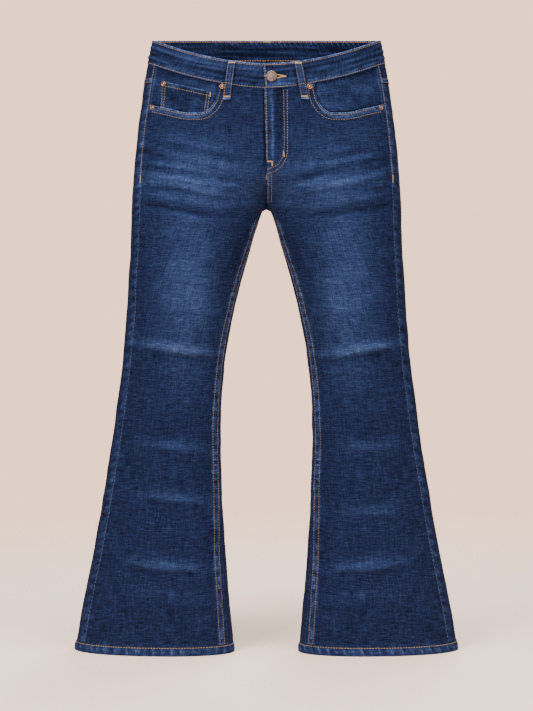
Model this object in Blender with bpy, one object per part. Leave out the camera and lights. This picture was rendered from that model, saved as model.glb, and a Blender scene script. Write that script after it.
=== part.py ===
"""Bootcut jeans standing on their hems, filled out and hollow.

Metres, +Z up, front towards -Y, the wearer's left at +X. The origin is on the floor between
the two hems. Every cloth piece is a wall laid on one shape function, skin(), which draws a
rounded ring at each height; the rings are worked out from the short tables below.
"""

import math

import bmesh
import bpy
from mathutils import Vector

# Walls and the space between pieces
CLOTH = 0.0012
BAND_WALL = 0.0025
HEM_WALL = 0.0026
SEAM = 0.0003
HALF_SEAM = SEAM / 2

# Heights of the main levels
HEM_HEIGHT = 0.0155
CROTCH_HEIGHT = 0.7665
FLY_END = 0.835
WAIST_SIDE = 1.0608
BAND_HEIGHT = 0.0415
FRONT_DROP = 0.047
FRONT_DROP_POWER = 1.8
FRONT_WIDER = 0.0021  # the waistband is this much wider at the centre front
FRONT_WIDER_POWER = 8
BACK_RISE = 0.009

# The side line of the rings lies this far from the middle of the whole depth, seat and fly included
SIDE_LINE = -0.01404

# The rings: how square their corners are, and where the seams run on them
RING_POWER = 2.2
SIDE_SEAM_IN = 0.0155
YOKE_SIDE = 0.984
YOKE_CENTRE = 0.9596

# Height, half width to the outer edge, depth of the front and depth of the back
SECTIONS = {
    "height": (0.000, 0.066, 0.171, 0.276, 0.381, 0.434, 0.486, 0.539, 0.591, 0.644,
               0.696, 0.7665, 0.8275, 0.8975, 0.9675, 1.0253, 1.0608, 1.080),
    "outer": (0.3345, 0.3229, 0.3019, 0.2835, 0.2669, 0.2599, 0.2529, 0.2476, 0.2433, 0.2406,
              0.2371, 0.2347, 0.2310, 0.2249, 0.2153, 0.2056, 0.1988, 0.1950),
    "front": (0.0740, 0.0710, 0.0640, 0.0570, 0.0525, 0.0530, 0.0560, 0.0620, 0.0690, 0.0750,
              0.0800, 0.0840, 0.0860, 0.0860, 0.0810, 0.0770, 0.0745, 0.0740),
    "back": (0.0750, 0.0725, 0.0665, 0.0605, 0.0560, 0.0565, 0.0590, 0.0650, 0.0740, 0.0830,
             0.0930, 0.1080, 0.1140, 0.1080, 0.0950, 0.0850, 0.0800, 0.0790),
}

# Half of the gap between the legs, up to the crotch
GAPS = {
    "height": (0.000, 0.066, 0.171, 0.276, 0.381, 0.434, 0.486, 0.539, 0.591, 0.644,
               0.696, 0.730, 0.7575, 0.7640, 0.7665),
    "gap": (0.0560, 0.0621, 0.0709, 0.0770, 0.0796, 0.0779, 0.0735, 0.0665, 0.0560, 0.0429,
            0.0280, 0.0184, 0.0096, 0.0062, 0.0000),
}

# Above the crotch the two leg rings draw together into one: their centres' offset from the
# middle as a share of their half width
JOINING = {
    "above": (0.000, 0.010, 0.025, 0.050, 0.080, 0.120, 0.170, 0.320),
    "apart": (1.000, 0.970, 0.880, 0.600, 0.320, 0.120, 0.000, 0.000),
}

# How far the outer end of a leg ring trails behind its inner end, each way from the middle
TURN_OUT = {"height": (0.0, 0.30, 0.60, 1.10), "trail": (0.012, 0.006, 0.0, 0.0)}

# How far in front of the inner edge the inseam runs, as a width seen from the front
INSEAM_IN = {"height": (0.0, 0.15, 0.30, 0.60, 0.7665), "inset": (0.011, 0.008, 0.003, 0.003, 0.0)}

# The pocket mouth, from the waist seam down and out to the side seam
MOUTH = {
    "across": (0.0817, 0.0830, 0.0879, 0.0986, 0.1110, 0.1358, 0.1653, 0.1990, 0.2100),
    "height": (0.9800, 0.9687, 0.9503, 0.9365, 0.9298, 0.9303, 0.9373, 0.9460, 0.9490),
}
MOUTH_START = 0.0817

# Largest folds, one row each: face, side (0 is both), height, place across the panel from -1 at
# the inner edge to 1 at the outer edge, half length, half height, rise of the ridge and how much
# it climbs towards the outer edge
FOLDS = (
    # face, side, height, across, reach, spread, rise, climb
    ("front", 0, 0.531, 0.15, 0.80, 0.011, 0.0030, 0.000),
    ("front", 0, 0.512, 0.10, 0.75, 0.010, -0.0028, 0.000),
    ("front", 0, 0.352, 0.00, 0.80, 0.014, 0.0022, 0.006),
    ("front", -1, 0.268, 0.10, 0.70, 0.014, 0.0020, 0.008),
    ("front", 1, 0.246, 0.10, 0.70, 0.014, 0.0020, -0.006),
    ("front", 0, 0.153, -0.05, 0.75, 0.015, 0.0018, 0.004),
    ("front", 0, 0.757, 0.20, 0.75, 0.010, -0.0024, 0.010),
    ("front", 0, 0.800, 0.10, 0.60, 0.012, 0.0020, 0.030),
    ("front", 0, 0.838, 0.20, 0.60, 0.012, 0.0018, 0.034),
    ("back", 0, 0.540, 0.00, 0.75, 0.013, 0.0034, 0.006),
    ("back", 0, 0.512, 0.00, 0.80, 0.012, -0.0032, 0.004),
    ("back", 0, 0.482, 0.05, 0.70, 0.013, 0.0028, -0.006),
    ("back", 0, 0.735, -0.10, 0.70, 0.014, -0.0030, 0.012),
    ("back", 0, 0.702, 0.00, 0.70, 0.015, 0.0022, 0.014),
    ("back", 0, 0.330, 0.05, 0.75, 0.015, 0.0022, 0.006),
    ("back", 0, 0.170, 0.00, 0.75, 0.016, 0.0020, -0.005),
)

# Folds die out towards the sides of a ring, faster the larger this is
FOLD_FADE = 1.6

# Extra lift where one layer laps over another
FLY_RAISE = 0.0016
LAP_RAISE = 0.0028
BAND_PROUD = 0.0008
COIN_DEPTH = 0.0017
FACING_DEPTH = 0.0032
PATCH_LIFT = 0.0005

# Places across and heights of the hardware, and of the top and foot of each belt loop
BUTTON_PLACE = (0.0084, 0.9905)
RIVET_PLACES = {
    "rivet_fly_right": (-0.0758, 0.9742),
    "rivet_fly_left": (0.0734, 0.9742),
    "rivet_side_right": (-0.1965, 0.9412),
    "rivet_side_left": (0.1965, 0.9412),
    "rivet_coin": (-0.1775, 0.9815),
}
FRONT_LOOPS = {
    "left": ((0.0534, 1.0168), (0.0658, 0.9520)),
    "right": ((-0.0590, 1.0179), (-0.0681, 0.9515)),
}
BACK_LOOPS = {
    "back_left": ((0.118, 1.0674), (0.122, 1.0020)),
    "back_right": ((-0.118, 1.0674), (-0.122, 1.0020)),
    "centre": ((0.0, 1.0690), (0.0, 1.0035)),
}

PALETTE = {
    # name: colour, roughness, metallic
    "denim": ((0.020, 0.036, 0.100), 0.85, 0.0),
    "copper": ((0.300, 0.150, 0.090), 0.35, 1.0),
    "antique_metal": ((0.330, 0.240, 0.210), 0.40, 1.0),
    "zip_tape": ((0.010, 0.014, 0.030), 0.80, 0.0),
}


class Curve:
    """A smooth curve through a table's rows that never overshoots them."""

    def __init__(self, table, column):
        keys = list(table)
        self.at = table[keys[0]]
        self.value = table[column]
        steps = [b - a for a, b in zip(self.at, self.at[1:])]
        rises = [b - a for a, b in zip(self.value, self.value[1:])]
        slopes = [rise / step for rise, step in zip(rises, steps)]
        inner = [2 * a * b / (a + b) if a * b > 0 else 0.0 for a, b in zip(slopes, slopes[1:])]
        self.slope = [slopes[0], *inner, slopes[-1]]

    def __call__(self, where):
        where = min(max(where, self.at[0]), self.at[-1])
        i = 0
        while i < len(self.at) - 2 and where > self.at[i + 1]:
            i += 1
        step = self.at[i + 1] - self.at[i]
        t = (where - self.at[i]) / step
        return (
            self.value[i] * (1 + 2 * t) * (1 - t) ** 2
            + self.slope[i] * step * t * (1 - t) ** 2
            + self.value[i + 1] * t * t * (3 - 2 * t)
            + self.slope[i + 1] * step * t * t * (t - 1)
        )


outer_at = Curve(SECTIONS, "outer")
front_at = Curve(SECTIONS, "front")
back_at = Curve(SECTIONS, "back")
gap_at = Curve(GAPS, "gap")
apart_at = Curve(JOINING, "apart")
trail_at = Curve(TURN_OUT, "trail")
inset_at = Curve(INSEAM_IN, "inset")
mouth_at = Curve(MOUTH, "height")


def ease(start, end, value):
    """0 before start, 1 after end, and a smooth step between."""
    t = min(max((value - start) / (end - start), 0.0), 1.0)
    return t * t * (3 - 2 * t)


def mix(a, b, share):
    """The value a share of the way from a to b."""
    return a + (b - a) * share


def ring_at(height):
    """(centre, half width) of one leg's ring, which the middle plane cuts above the crotch."""
    outer = outer_at(height)
    if height < CROTCH_HEIGHT:
        gap = gap_at(height)
        return (outer + gap) / 2, (outer - gap) / 2
    apart = apart_at(height - CROTCH_HEIGHT)
    half = outer / (1 + apart)
    return apart * half, half


def ring_point(side, angle, height):
    """A point of the ring: angle 0 is its outer end, positive angles run over the front."""
    centre, half = ring_at(height)
    c, s = math.cos(angle), math.sin(angle)
    reach = (abs(c) ** RING_POWER + abs(s) ** RING_POWER) ** (-1 / RING_POWER)
    depth = front_at(height) if s >= 0 else back_at(height)
    across = reach * c
    along = SIDE_LINE + trail_at(height) * across - depth * reach * s
    return Vector((side * (centre + half * across), along, height))


def angle_for(side_across, height, face=1):
    """The angle at which the ring passes a distance from the middle plane, on the front or back."""
    centre, half = ring_at(height)
    across = min(max((side_across - centre) / half, -1.0), 1.0)
    off = (1 - abs(across) ** RING_POWER) ** (1 / RING_POWER)
    return face * math.atan2(off, across)


def outward(side, angle, height):
    """The unit normal of the shape, folds left out."""
    turn, climb = 0.01, 0.002
    over = ring_point(side, angle + turn, height) - ring_point(side, angle - turn, height)
    up = ring_point(side, angle, height + climb) - ring_point(side, angle, height - climb)
    return side * up.cross(over).normalized()


def fold_lift(side, angle, height):
    """How far the folds move the cloth out or in."""
    face = "front" if math.sin(angle) >= 0 else "back"
    fade = min(1.0, abs(math.sin(angle)) * FOLD_FADE)
    across = math.cos(angle)
    lift = 0.0
    for on, where, level, centre, reach, spread, rise, climb in FOLDS:
        if on != face or where not in (0, side):
            continue
        along = (across - centre) / reach
        if abs(along) >= 1:
            continue
        off = (height - level - climb * across) / spread
        lift += rise * (1 - along * along) ** 2 * math.exp(-off * off) * fade
    return lift


def skin(side, angle, height, lift=0.0):
    """The cloth's surface at an angle and a height, moved out by lift."""
    out = outward(side, angle, height)
    return ring_point(side, angle, height) + out * (lift + fold_lift(side, angle, height))


def skin_at(across, height, face, lift=0.0):
    """The cloth's surface at a signed place across and a height, on the front (1) or back (-1)."""
    side = -1 if across < 0 else 1
    return skin(side, angle_for(abs(across), height, face), height, lift)


def near_middle(angle):
    """1 at the middle of the front, 0 at the outer ends and behind."""
    c, s = math.cos(angle), max(math.sin(angle), 0.0)
    reach = (abs(c) ** RING_POWER + abs(s) ** RING_POWER) ** (-1 / RING_POWER)
    return 1 - abs(reach * c) ** FRONT_DROP_POWER


def behind(angle):
    """How far back on the ring: 0 at the sides and in front, 1 at the middle of the back."""
    c, s = math.cos(angle), min(math.sin(angle), 0.0)
    return -s * (abs(c) ** RING_POWER + abs(s) ** RING_POWER) ** (-1 / RING_POWER)


def band_top(angle):
    """Height of the waistband's top edge: low at the centre front, rising evenly to the back."""
    return WAIST_SIDE - FRONT_DROP * near_middle(angle) + BACK_RISE * behind(angle)


def band_height(angle):
    """Width of the waistband, greatest at the centre front."""
    return BAND_HEIGHT + FRONT_WIDER * near_middle(angle) ** FRONT_WIDER_POWER


def band_foot(angle):
    """Height of the waist seam round the body, angle 0 at the outer end."""
    return band_top(angle) - band_height(angle)


def side_angle(height):
    """Where the side seam runs, a little in front of the outer edge."""
    return angle_for(outer_at(height) - SIDE_SEAM_IN, height)


def arc_shift(side, angle, height, distance):
    """The turn of angle that moves a point this far round the ring."""
    step = 0.01
    ahead = ring_point(side, angle + step, height)
    behind = ring_point(side, angle - step, height)
    return distance * 2 * step / (ahead - behind).length


def inner_angle(side, height, face, reach):
    """Where a leg panel's inner edge runs: along the inseam, and above it along the rise.

    face is 1 for a front panel and -1 for a back panel; reach is how far past the middle
    plane the panel goes, less than zero where it stops short.
    """
    centre, half = ring_at(height)
    if centre - half >= HALF_SEAM:
        seam = angle_for(centre - half + inset_at(height), height)
        shift = arc_shift(side, seam, height, HALF_SEAM)
        return seam - shift if face > 0 else seam - 2 * math.pi + shift
    return angle_for(-reach, height, face)


def new_material(name):
    """A material of the palette."""
    colour, roughness, metallic = PALETTE[name]
    material = bpy.data.materials.new(name)
    material.use_nodes = True
    shader = material.node_tree.nodes["Principled BSDF"]
    shader.inputs["Base Color"].default_value = (*colour, 1.0)
    shader.inputs["Roughness"].default_value = roughness
    shader.inputs["Metallic"].default_value = metallic
    material.diffuse_color = (*colour, 1.0)
    return material


def finish_mesh(name, bm, material, collection, smooth_angle=0.7):
    """Turns a bmesh into a named object with outward faces and smooth shading."""
    mesh = bpy.data.meshes.new(name)
    bm.to_mesh(mesh)
    bm.free()
    mesh.materials.append(material)
    mesh.shade_smooth()
    mesh.set_sharp_from_angle(angle=smooth_angle)
    obj = bpy.data.objects.new(name, mesh)
    collection.objects.link(obj)
    return obj


def wall(name, us, vs, place, thickness, material, collection, ring=False):
    """A closed wall: a grid laid on place(u, v, inward), extruded to its inner face."""
    bm = bmesh.new()
    keep_u = bm.verts.layers.float.new("u")
    keep_v = bm.verts.layers.float.new("v")
    columns, rows = len(us) - 1, len(vs) - 1
    bmesh.ops.create_grid(bm, x_segments=columns, y_segments=rows, size=1)
    for vert in bm.verts:
        vert[keep_u] = us[round((vert.co.x + 1) / 2 * columns)]
        vert[keep_v] = vs[round((vert.co.y + 1) / 2 * rows)]
        vert.co = place(vert[keep_u], vert[keep_v], 0.0)
    if ring:
        bmesh.ops.remove_doubles(bm, verts=bm.verts[:], dist=1e-6)
    inner = bmesh.ops.extrude_face_region(bm, geom=bm.faces[:], use_keep_orig=True)["geom"]
    for vert in inner:
        if isinstance(vert, bmesh.types.BMVert):
            vert.co = place(vert[keep_u], vert[keep_v], thickness)
    bmesh.ops.recalc_face_normals(bm, faces=bm.faces[:])
    return finish_mesh(name, bm, material, collection)


def even(count, start=0.0, end=1.0):
    """count + 1 values from start to end."""
    return [mix(start, end, i / count) for i in range(count + 1)]


# Rows of a leg panel below the crotch: the hem, the shin, the knee folds and the thigh
LEG_ROWS = (0.0158, 0.075, 0.130, 0.153, 0.176, 0.222, 0.246, 0.268, 0.292, 0.333, 0.352, 0.372,
            0.425, 0.482, 0.500, 0.513, 0.522, 0.532, 0.545, 0.580, 0.630, 0.672, 0.702, 0.730, 0.750,
            0.7585, 0.7640)
RISE_ROWS = 12
CROTCH_LAG = 0.050  # how much lower a row sits at the side seam than at the crotch
LAG_FROM = 0.56  # the height from which rows start to lag
RISE_CLOSE = 1.9  # packs the rows of the rise near the crotch
SIDE_CLOSE = 1.3
TOP_BEND_FROM = 0.55  # the share of the rows from which they bend to the top edge


class LegPanel:
    """The grid of one front or back leg panel: rows from hem to top, columns from side to inner."""

    def __init__(self, side, face, side_top, inner_top, reach):
        self.side, self.face, self.reach = side, face, reach
        corner = self.corner_height()
        self.rows = []
        for height in (*LEG_ROWS, corner):
            lag = CROTCH_LAG * ease(LAG_FROM, corner, height)
            self.rows.append((height - lag, height))
        for i in range(1, RISE_ROWS + 1):
            share = i / RISE_ROWS
            low = corner - CROTCH_LAG
            side_height = mix(low, side_top, share**SIDE_CLOSE)
            self.rows.append((side_height, mix(corner, inner_top, share**RISE_CLOSE)))

    @staticmethod
    def corner_height():
        """Just under the crotch, where the two legs are a seam's width apart."""
        height = CROTCH_HEIGHT
        while gap_at(height) < HALF_SEAM:
            height -= 0.00001
        return height

    def edge(self, height):
        """The angle of the inner edge at a height."""
        return inner_angle(self.side, height, self.face, self.reach(height))

    def spot(self, u, row, top=None):
        """(angle, height) of a column and row; top(across, angle) bends the last rows to it."""
        side_height, inner_height = self.rows[round(row)]
        start = side_angle(side_height)
        start += self.face * arc_shift(self.side, start, side_height, HALF_SEAM)
        angle = mix(start, self.edge(inner_height), u)
        height = mix(side_height, inner_height, u)
        if top is not None:
            last_side, last_inner = self.rows[-1]
            pull = ease(TOP_BEND_FROM, 1.0, row / (len(self.rows) - 1)) ** 2
            last_angle = mix(side_angle(last_side), self.edge(last_inner), u)
            height += pull * (top(last_angle) - mix(last_side, last_inner, u))
        return angle, height


def fly_reach(side):
    """How far past the middle a front panel goes: the left one laps over, the right one under."""
    lap, full_at = (0.0035, FLY_END + 0.135) if side > 0 else (0.010, FLY_END + 0.012)

    def reach(height):
        return mix(-HALF_SEAM, lap, ease(FLY_END, full_at, height))

    return reach


def fly_raise(across, height):
    """The left front stands out over the right one along the fly."""
    flat_from, full_at = 0.040, 0.020
    starts, full_height = FLY_END - 0.045, FLY_END - 0.015
    return FLY_RAISE * ease(flat_from, full_at, across) * ease(starts, full_height, height)


def front_panel(side, material, collection):
    """One front: scooped for the pocket mouth at its top outer corner."""
    mouth_columns = (0.1653, 0.1358, 0.1110, 0.0986, 0.0879, 0.0830, 0.0815)
    side_columns, middle_columns = (0.0, 0.09, 0.18), (0.36, 0.76, 0.84, 0.92, 1.0)
    inner_top = band_foot(math.pi / 2) - SEAM
    side_top = MOUTH["height"][-2]
    panel = LegPanel(side, 1, side_top, inner_top, fly_reach(side))
    first, last = side_angle(side_top), panel.edge(inner_top)
    marks = [(angle_for(x, mouth_at(x)) - first) / (last - first) for x in mouth_columns]
    us = sorted([*side_columns, *marks, *middle_columns])

    def top(angle):
        height = band_foot(angle) - SEAM
        across = abs(ring_point(side, angle, height).x)
        if across < MOUTH_START:
            return height
        for _ in range(3):
            height = mouth_at(abs(ring_point(side, angle, height).x))
        return height

    def place(u, row, inward):
        angle, height = panel.spot(u, row, top)
        lift = -inward
        if side > 0:
            lift += fly_raise(ring_point(side, angle, height).x, height)
        return skin(side, angle, height, lift)

    name = "front_panel_left" if side > 0 else "front_panel_right"
    return wall(name, us, range(len(panel.rows)), place, CLOTH, material, collection)


def yoke_seam(across):
    """Height of the seam between yoke and back panel."""
    reach, bend = 0.2, 1.1
    return mix(YOKE_CENTRE, YOKE_SIDE, min(across / reach, 1.0) ** bend)


def back_panel(side, material, collection):
    """One back, from the hem to the yoke seam."""
    columns = 17
    panel = LegPanel(side, -1, YOKE_SIDE - HALF_SEAM, YOKE_CENTRE - HALF_SEAM, lambda _: -HALF_SEAM)

    def top(angle):
        height = YOKE_SIDE
        for _ in range(3):
            height = yoke_seam(abs(ring_point(side, angle, height).x)) - HALF_SEAM
        return height

    def place(u, row, inward):
        angle, height = panel.spot(u, row, top)
        return skin(side, angle, height, -inward)

    name = "back_panel_left" if side > 0 else "back_panel_right"
    return wall(name, even(columns), range(len(panel.rows)), place, CLOTH, material, collection)


def yoke(side, material, collection):
    """One yoke, between the back panel and the waistband."""
    columns, rows = 12, 3

    def place(u, v, inward):
        level = mix(YOKE_SIDE, YOKE_CENTRE, u)
        start = side_angle(level) - arc_shift(side, side_angle(level), level, HALF_SEAM)
        angle = mix(start, angle_for(HALF_SEAM, level, -1), u)
        foot = YOKE_SIDE
        for _ in range(3):
            foot = yoke_seam(abs(ring_point(side, angle, foot).x)) + HALF_SEAM
        height = mix(foot, band_foot(angle) - SEAM, v)
        edge = side_angle(height) - arc_shift(side, side_angle(height), height, HALF_SEAM)
        angle = mix(edge, angle_for(HALF_SEAM, height, -1), u)
        return skin(side, angle, height, -inward)

    name = "yoke_left" if side > 0 else "yoke_right"
    return wall(name, even(columns), even(rows), place, CLOTH, material, collection)


def waistband(material, collection):
    """One strip round the waist, its left end lapped over its right end at the centre front."""
    over_end, under_end = 0.006, 0.036
    flat_from, full_at = 0.045, 0.018
    slant, level = 0.0045, 1.0
    columns, rows = 58, 3
    start = angle_for(-over_end, level)
    end = -2 * math.pi + angle_for(under_end, level)

    def place(u, v, inward):
        angle = mix(start, end, u)
        on_lap = u < 0.5 and angle > 0
        lapped = ease(flat_from, full_at, ring_point(1, angle, level).x) if on_lap else 0.0
        height = band_foot(angle) + band_height(angle) * v
        if u == 0.0:
            angle -= arc_shift(1, angle, height, slant * (1 - v))
        return skin(1, angle, height, BAND_PROUD + LAP_RAISE * lapped - inward)

    return wall("waistband", even(columns), even(rows), place, BAND_WALL, material, collection)


def facing_depth(side, angle, height):
    """The facing starts near the outer cloth at the side seam and dips behind the pocket mouth."""
    flat_to, full_at = 0.001, 0.012
    seam = ring_point(side, side_angle(height), height)
    away = (ring_point(side, angle, height) - seam).length
    return mix(SEAM, FACING_DEPTH, ease(flat_to, full_at, away))


def pocket_facing(side, material, collection):
    """The piece seen in the pocket opening; it reaches on behind the front panel."""
    columns, rows = 14, 5
    inner_edge = 0.070
    below_mouth = 0.012
    hides_from, hides_to = 0.06, 0.22
    corner, lowest, bend = MOUTH["height"][-2], MOUTH["height"][4], MOUTH["across"][3]
    seam_top = WAIST_SIDE - BAND_HEIGHT

    def foot(angle):
        height = corner
        for _ in range(3):
            height = mouth_at(abs(ring_point(side, angle, height).x))
        return height

    def place(u, v, inward):
        level = mix(corner, seam_top, v)
        angle = mix(side_angle(level), angle_for(inner_edge, level), u)
        hidden = ease(hides_from, hides_to, u)
        low = foot(angle) + mix(2 * SEAM, -below_mouth, hidden)
        if abs(ring_point(side, angle, level).x) < bend:
            low = lowest - below_mouth
        height = mix(low, band_foot(angle) - SEAM, v)
        edge = side_angle(height) + arc_shift(side, side_angle(height), height, HALF_SEAM)
        angle = mix(edge, angle_for(inner_edge, height), u)
        return skin(side, angle, height, -facing_depth(side, angle, height) - inward)

    name = "pocket_facing_left" if side > 0 else "pocket_facing_right"
    return wall(name, even(columns), even(rows), place, CLOTH, material, collection)


def coin_pocket(material, collection):
    """A small patch on the right facing; its foot is tucked behind the pocket mouth."""
    top_outer, top_inner = (0.1810, 0.9865), (0.0951, 0.9658)
    foot_outer, foot_inner = (0.1845, 0.9345), (0.1015, 0.9240)
    columns, rows, wall_depth = 9, 4, 0.0010

    def place(u, v, inward):
        across = mix(mix(foot_outer[0], top_outer[0], v), mix(foot_inner[0], top_inner[0], v), u)
        height = mix(mix(foot_outer[1], top_outer[1], v), mix(foot_inner[1], top_inner[1], v), u)
        return skin_at(-across, height, 1, -COIN_DEPTH - inward)

    return wall("coin_pocket", even(columns), even(rows), place, wall_depth, material, collection)


def back_pocket(side, material, collection):
    """A plain five-sided patch, slightly tilted with the yoke seam."""
    centre, top = 0.116, 0.942
    half_top, half_foot = 0.074, 0.064
    straight, point = 0.128, 0.022
    tilt, foot_shift = 0.075, 0.006
    columns, rows = 12, 10

    def place(u, v, inward):
        across = centre + u * mix(half_top, half_foot, v) + foot_shift * v
        height = top + tilt * u * half_top - v * (straight + point * (1 - abs(u)))
        return skin_at(side * across, height, -1, PATCH_LIFT + CLOTH - inward)

    name = "back_pocket_left" if side > 0 else "back_pocket_right"
    return wall(name, even(columns, -1.0), even(rows), place, CLOTH, material, collection)


def hem(side, material, collection):
    """The turned-up end of a leg, a ring with a flat foot."""
    columns, proud, clear_of_foot = 36, 0.0006, 0.003

    def place(u, v, inward):
        angle = 2 * math.pi * u
        height = HEM_HEIGHT * v
        out = outward(side, angle, height + clear_of_foot)
        out = Vector((out.x, out.y, 0.0)).normalized()
        point = ring_point(side, angle, height)
        return point + out * (proud - inward)

    name = "hem_left" if side > 0 else "hem_right"
    return wall(name, even(columns), (0.0, 1.0), place, HEM_WALL, material, collection, ring=True)


def belt_loop(name, face, top, foot, material, collection):
    """A folded strap from the waistband's top edge to just below the waist seam."""
    width, thickness, stand, rows = 0.013, 0.0014, 0.0024, 9
    rest = PATCH_LIFT + thickness
    seam_from, seam_to = 0.30, 0.42
    bulges_from, bulges_to, sinks_from, sinks_to = 0.10, 0.34, 0.80, 1.0
    side = -1 if foot[0] < 0 else 1

    def place(u, v, inward):
        height = mix(foot[1], top[1], v)
        across = mix(foot[0], top[0], v)
        out_of_body = BAND_PROUD * ease(seam_from, seam_to, v)
        bulge = stand * ease(bulges_from, bulges_to, v) * ease(sinks_to, sinks_from, v)
        lift = rest + out_of_body + bulge - inward
        middle = angle_for(abs(across), height, face)
        angle = middle + arc_shift(side, middle, height, width * u)
        return skin(side, angle, height, lift)

    return wall(name, (-0.5, 0.0, 0.5), even(rows), place, thickness, material, collection)


def turned(name, profile, steps, across, height, lift, material, collection):
    """A turned metal piece on the front; its profile lists (radius, height) from below, out and back."""
    bm = bmesh.new()
    points = [bm.verts.new((radius, 0.0, up)) for radius, up in profile]
    for a, b in zip(points, points[1:]):
        bm.edges.new((a, b))
    bmesh.ops.spin(
        bm,
        geom=bm.verts[:] + bm.edges[:],
        cent=(0, 0, 0),
        axis=(0, 0, 1),
        angle=2 * math.pi,
        steps=steps,
        use_merge=True,
    )
    bmesh.ops.remove_doubles(bm, verts=bm.verts[:], dist=1e-6)
    bmesh.ops.recalc_face_normals(bm, faces=bm.faces[:])
    obj = finish_mesh(name, bm, material, collection)
    side = -1 if across < 0 else 1
    angle = angle_for(abs(across), height)
    obj.location = skin(side, angle, height, lift)
    obj.rotation_mode = "QUATERNION"
    obj.rotation_quaternion = outward(side, angle, height).to_track_quat("Z", "Y")
    return obj


def rivet(name, place, material, collection):
    """A cap with a raised middle, on the front panel or on the coin pocket."""
    steps, stand = 12, 0.0008
    profile = (
        (0.0, 0.0), (0.0045, 0.0), (0.0045, 0.0005), (0.0041, 0.0010), (0.0030, 0.0012),
        (0.0022, 0.0010), (0.0016, 0.0012), (0.0008, 0.0017), (0.0, 0.0018),
    )
    lift = stand - (COIN_DEPTH if name == "rivet_coin" else 0.0)
    return turned(name, profile, steps, *place, lift, material, collection)


def button(material, collection):
    """The shank button's head, with a low rim round a slightly domed face."""
    steps = 22
    profile = (
        (0.0, 0.0), (0.0070, 0.0), (0.0090, 0.0008), (0.0095, 0.0020), (0.0092, 0.0030),
        (0.0082, 0.0036), (0.0070, 0.0034), (0.0060, 0.0030), (0.0030, 0.0034), (0.0, 0.0036),
    )
    lift = BAND_PROUD + LAP_RAISE + PATCH_LIFT
    return turned("button", profile, steps, *BUTTON_PLACE, lift, material, collection)


def fly_zip(material, collection):
    """The zip's tape behind the right front's edge."""
    centre, half, foot, head, thickness = 0.006, 0.014, 0.852, 0.962, 0.0010
    columns, rows = 4, 6

    def place(u, v, inward):
        height = mix(foot, head, v)
        across = centre - half * u
        return skin(-1, angle_for(across, height), height, -CLOTH - PATCH_LIFT - inward)

    return wall("fly_zip", even(columns, -1.0), even(rows), place, thickness, material, collection)


def clear_scene():
    """Empty the file."""
    for obj in list(bpy.data.objects):
        bpy.data.objects.remove(obj, do_unlink=True)


def build():
    """Every piece, in one collection."""
    clear_scene()
    jeans = bpy.data.collections.new("bootcut_jeans")
    bpy.context.scene.collection.children.link(jeans)
    looks = {name: new_material(name) for name in PALETTE}
    denim = looks["denim"]
    for side in (1, -1):
        front_panel(side, denim, jeans)
        back_panel(side, denim, jeans)
        yoke(side, denim, jeans)
        pocket_facing(side, denim, jeans)
        back_pocket(side, denim, jeans)
        hem(side, denim, jeans)
    waistband(denim, jeans)
    coin_pocket(denim, jeans)
    fly_zip(looks["zip_tape"], jeans)
    for word, (top, foot) in FRONT_LOOPS.items():
        belt_loop(f"belt_loop_front_{word}", 1, top, foot, denim, jeans)
    for word, (top, foot) in BACK_LOOPS.items():
        belt_loop(f"belt_loop_{word}", -1, top, foot, denim, jeans)
    for name, place in RIVET_PLACES.items():
        rivet(name, place, looks["copper"], jeans)
    button(looks["antique_metal"], jeans)


build()
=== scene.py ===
"""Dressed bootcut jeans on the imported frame: cloth walls, creases, stitching, metal and studio.

Metres, +Z up, the fly towards -Y and the wearer's left at +X. Every cloth piece is laid on one
shape, BodyForm, which repeats the solids' own rings and folds, with more rows and fine creases.
"""

import logging
import math
from dataclasses import dataclass, field
from enum import Enum
from typing import Iterator, Optional, Sequence, Union

import bmesh
import bpy
import numpy as np
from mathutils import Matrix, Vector
from mathutils.bvhtree import BVHTree

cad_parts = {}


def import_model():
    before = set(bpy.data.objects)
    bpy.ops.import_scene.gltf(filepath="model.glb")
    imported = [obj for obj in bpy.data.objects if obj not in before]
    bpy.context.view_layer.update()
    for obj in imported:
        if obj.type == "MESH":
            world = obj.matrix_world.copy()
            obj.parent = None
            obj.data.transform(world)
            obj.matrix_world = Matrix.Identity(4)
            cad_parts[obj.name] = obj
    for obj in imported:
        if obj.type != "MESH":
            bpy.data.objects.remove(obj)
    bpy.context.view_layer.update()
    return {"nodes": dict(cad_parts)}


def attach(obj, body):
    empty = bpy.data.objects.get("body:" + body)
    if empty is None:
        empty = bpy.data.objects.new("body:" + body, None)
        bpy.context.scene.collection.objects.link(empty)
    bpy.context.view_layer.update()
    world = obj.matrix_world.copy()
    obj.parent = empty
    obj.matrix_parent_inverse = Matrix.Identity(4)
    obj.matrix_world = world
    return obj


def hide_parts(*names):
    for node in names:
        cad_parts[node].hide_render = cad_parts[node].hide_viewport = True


Array = np.ndarray
Point = tuple[float, float]
Colour = tuple[float, float, float]
Number = Union[float, Array]
Rows = dict[str, Sequence[tuple]]
Piece = bpy.types.Object
Finish = bpy.types.Material
Socket = bpy.types.NodeSocket

log = logging.getLogger("jeans")

MM = 0.001

# Distances of the finest columns and rows from an edge
CLOSE = (0.0003, 0.0008, 0.0014)

# Walls and the space between pieces, as in the solids
CLOTH = 0.0012
BAND_WALL = 0.0025
HEM_WALL = 0.0026
SEAM = 0.0003
HALF_SEAM = SEAM / 2

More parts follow.
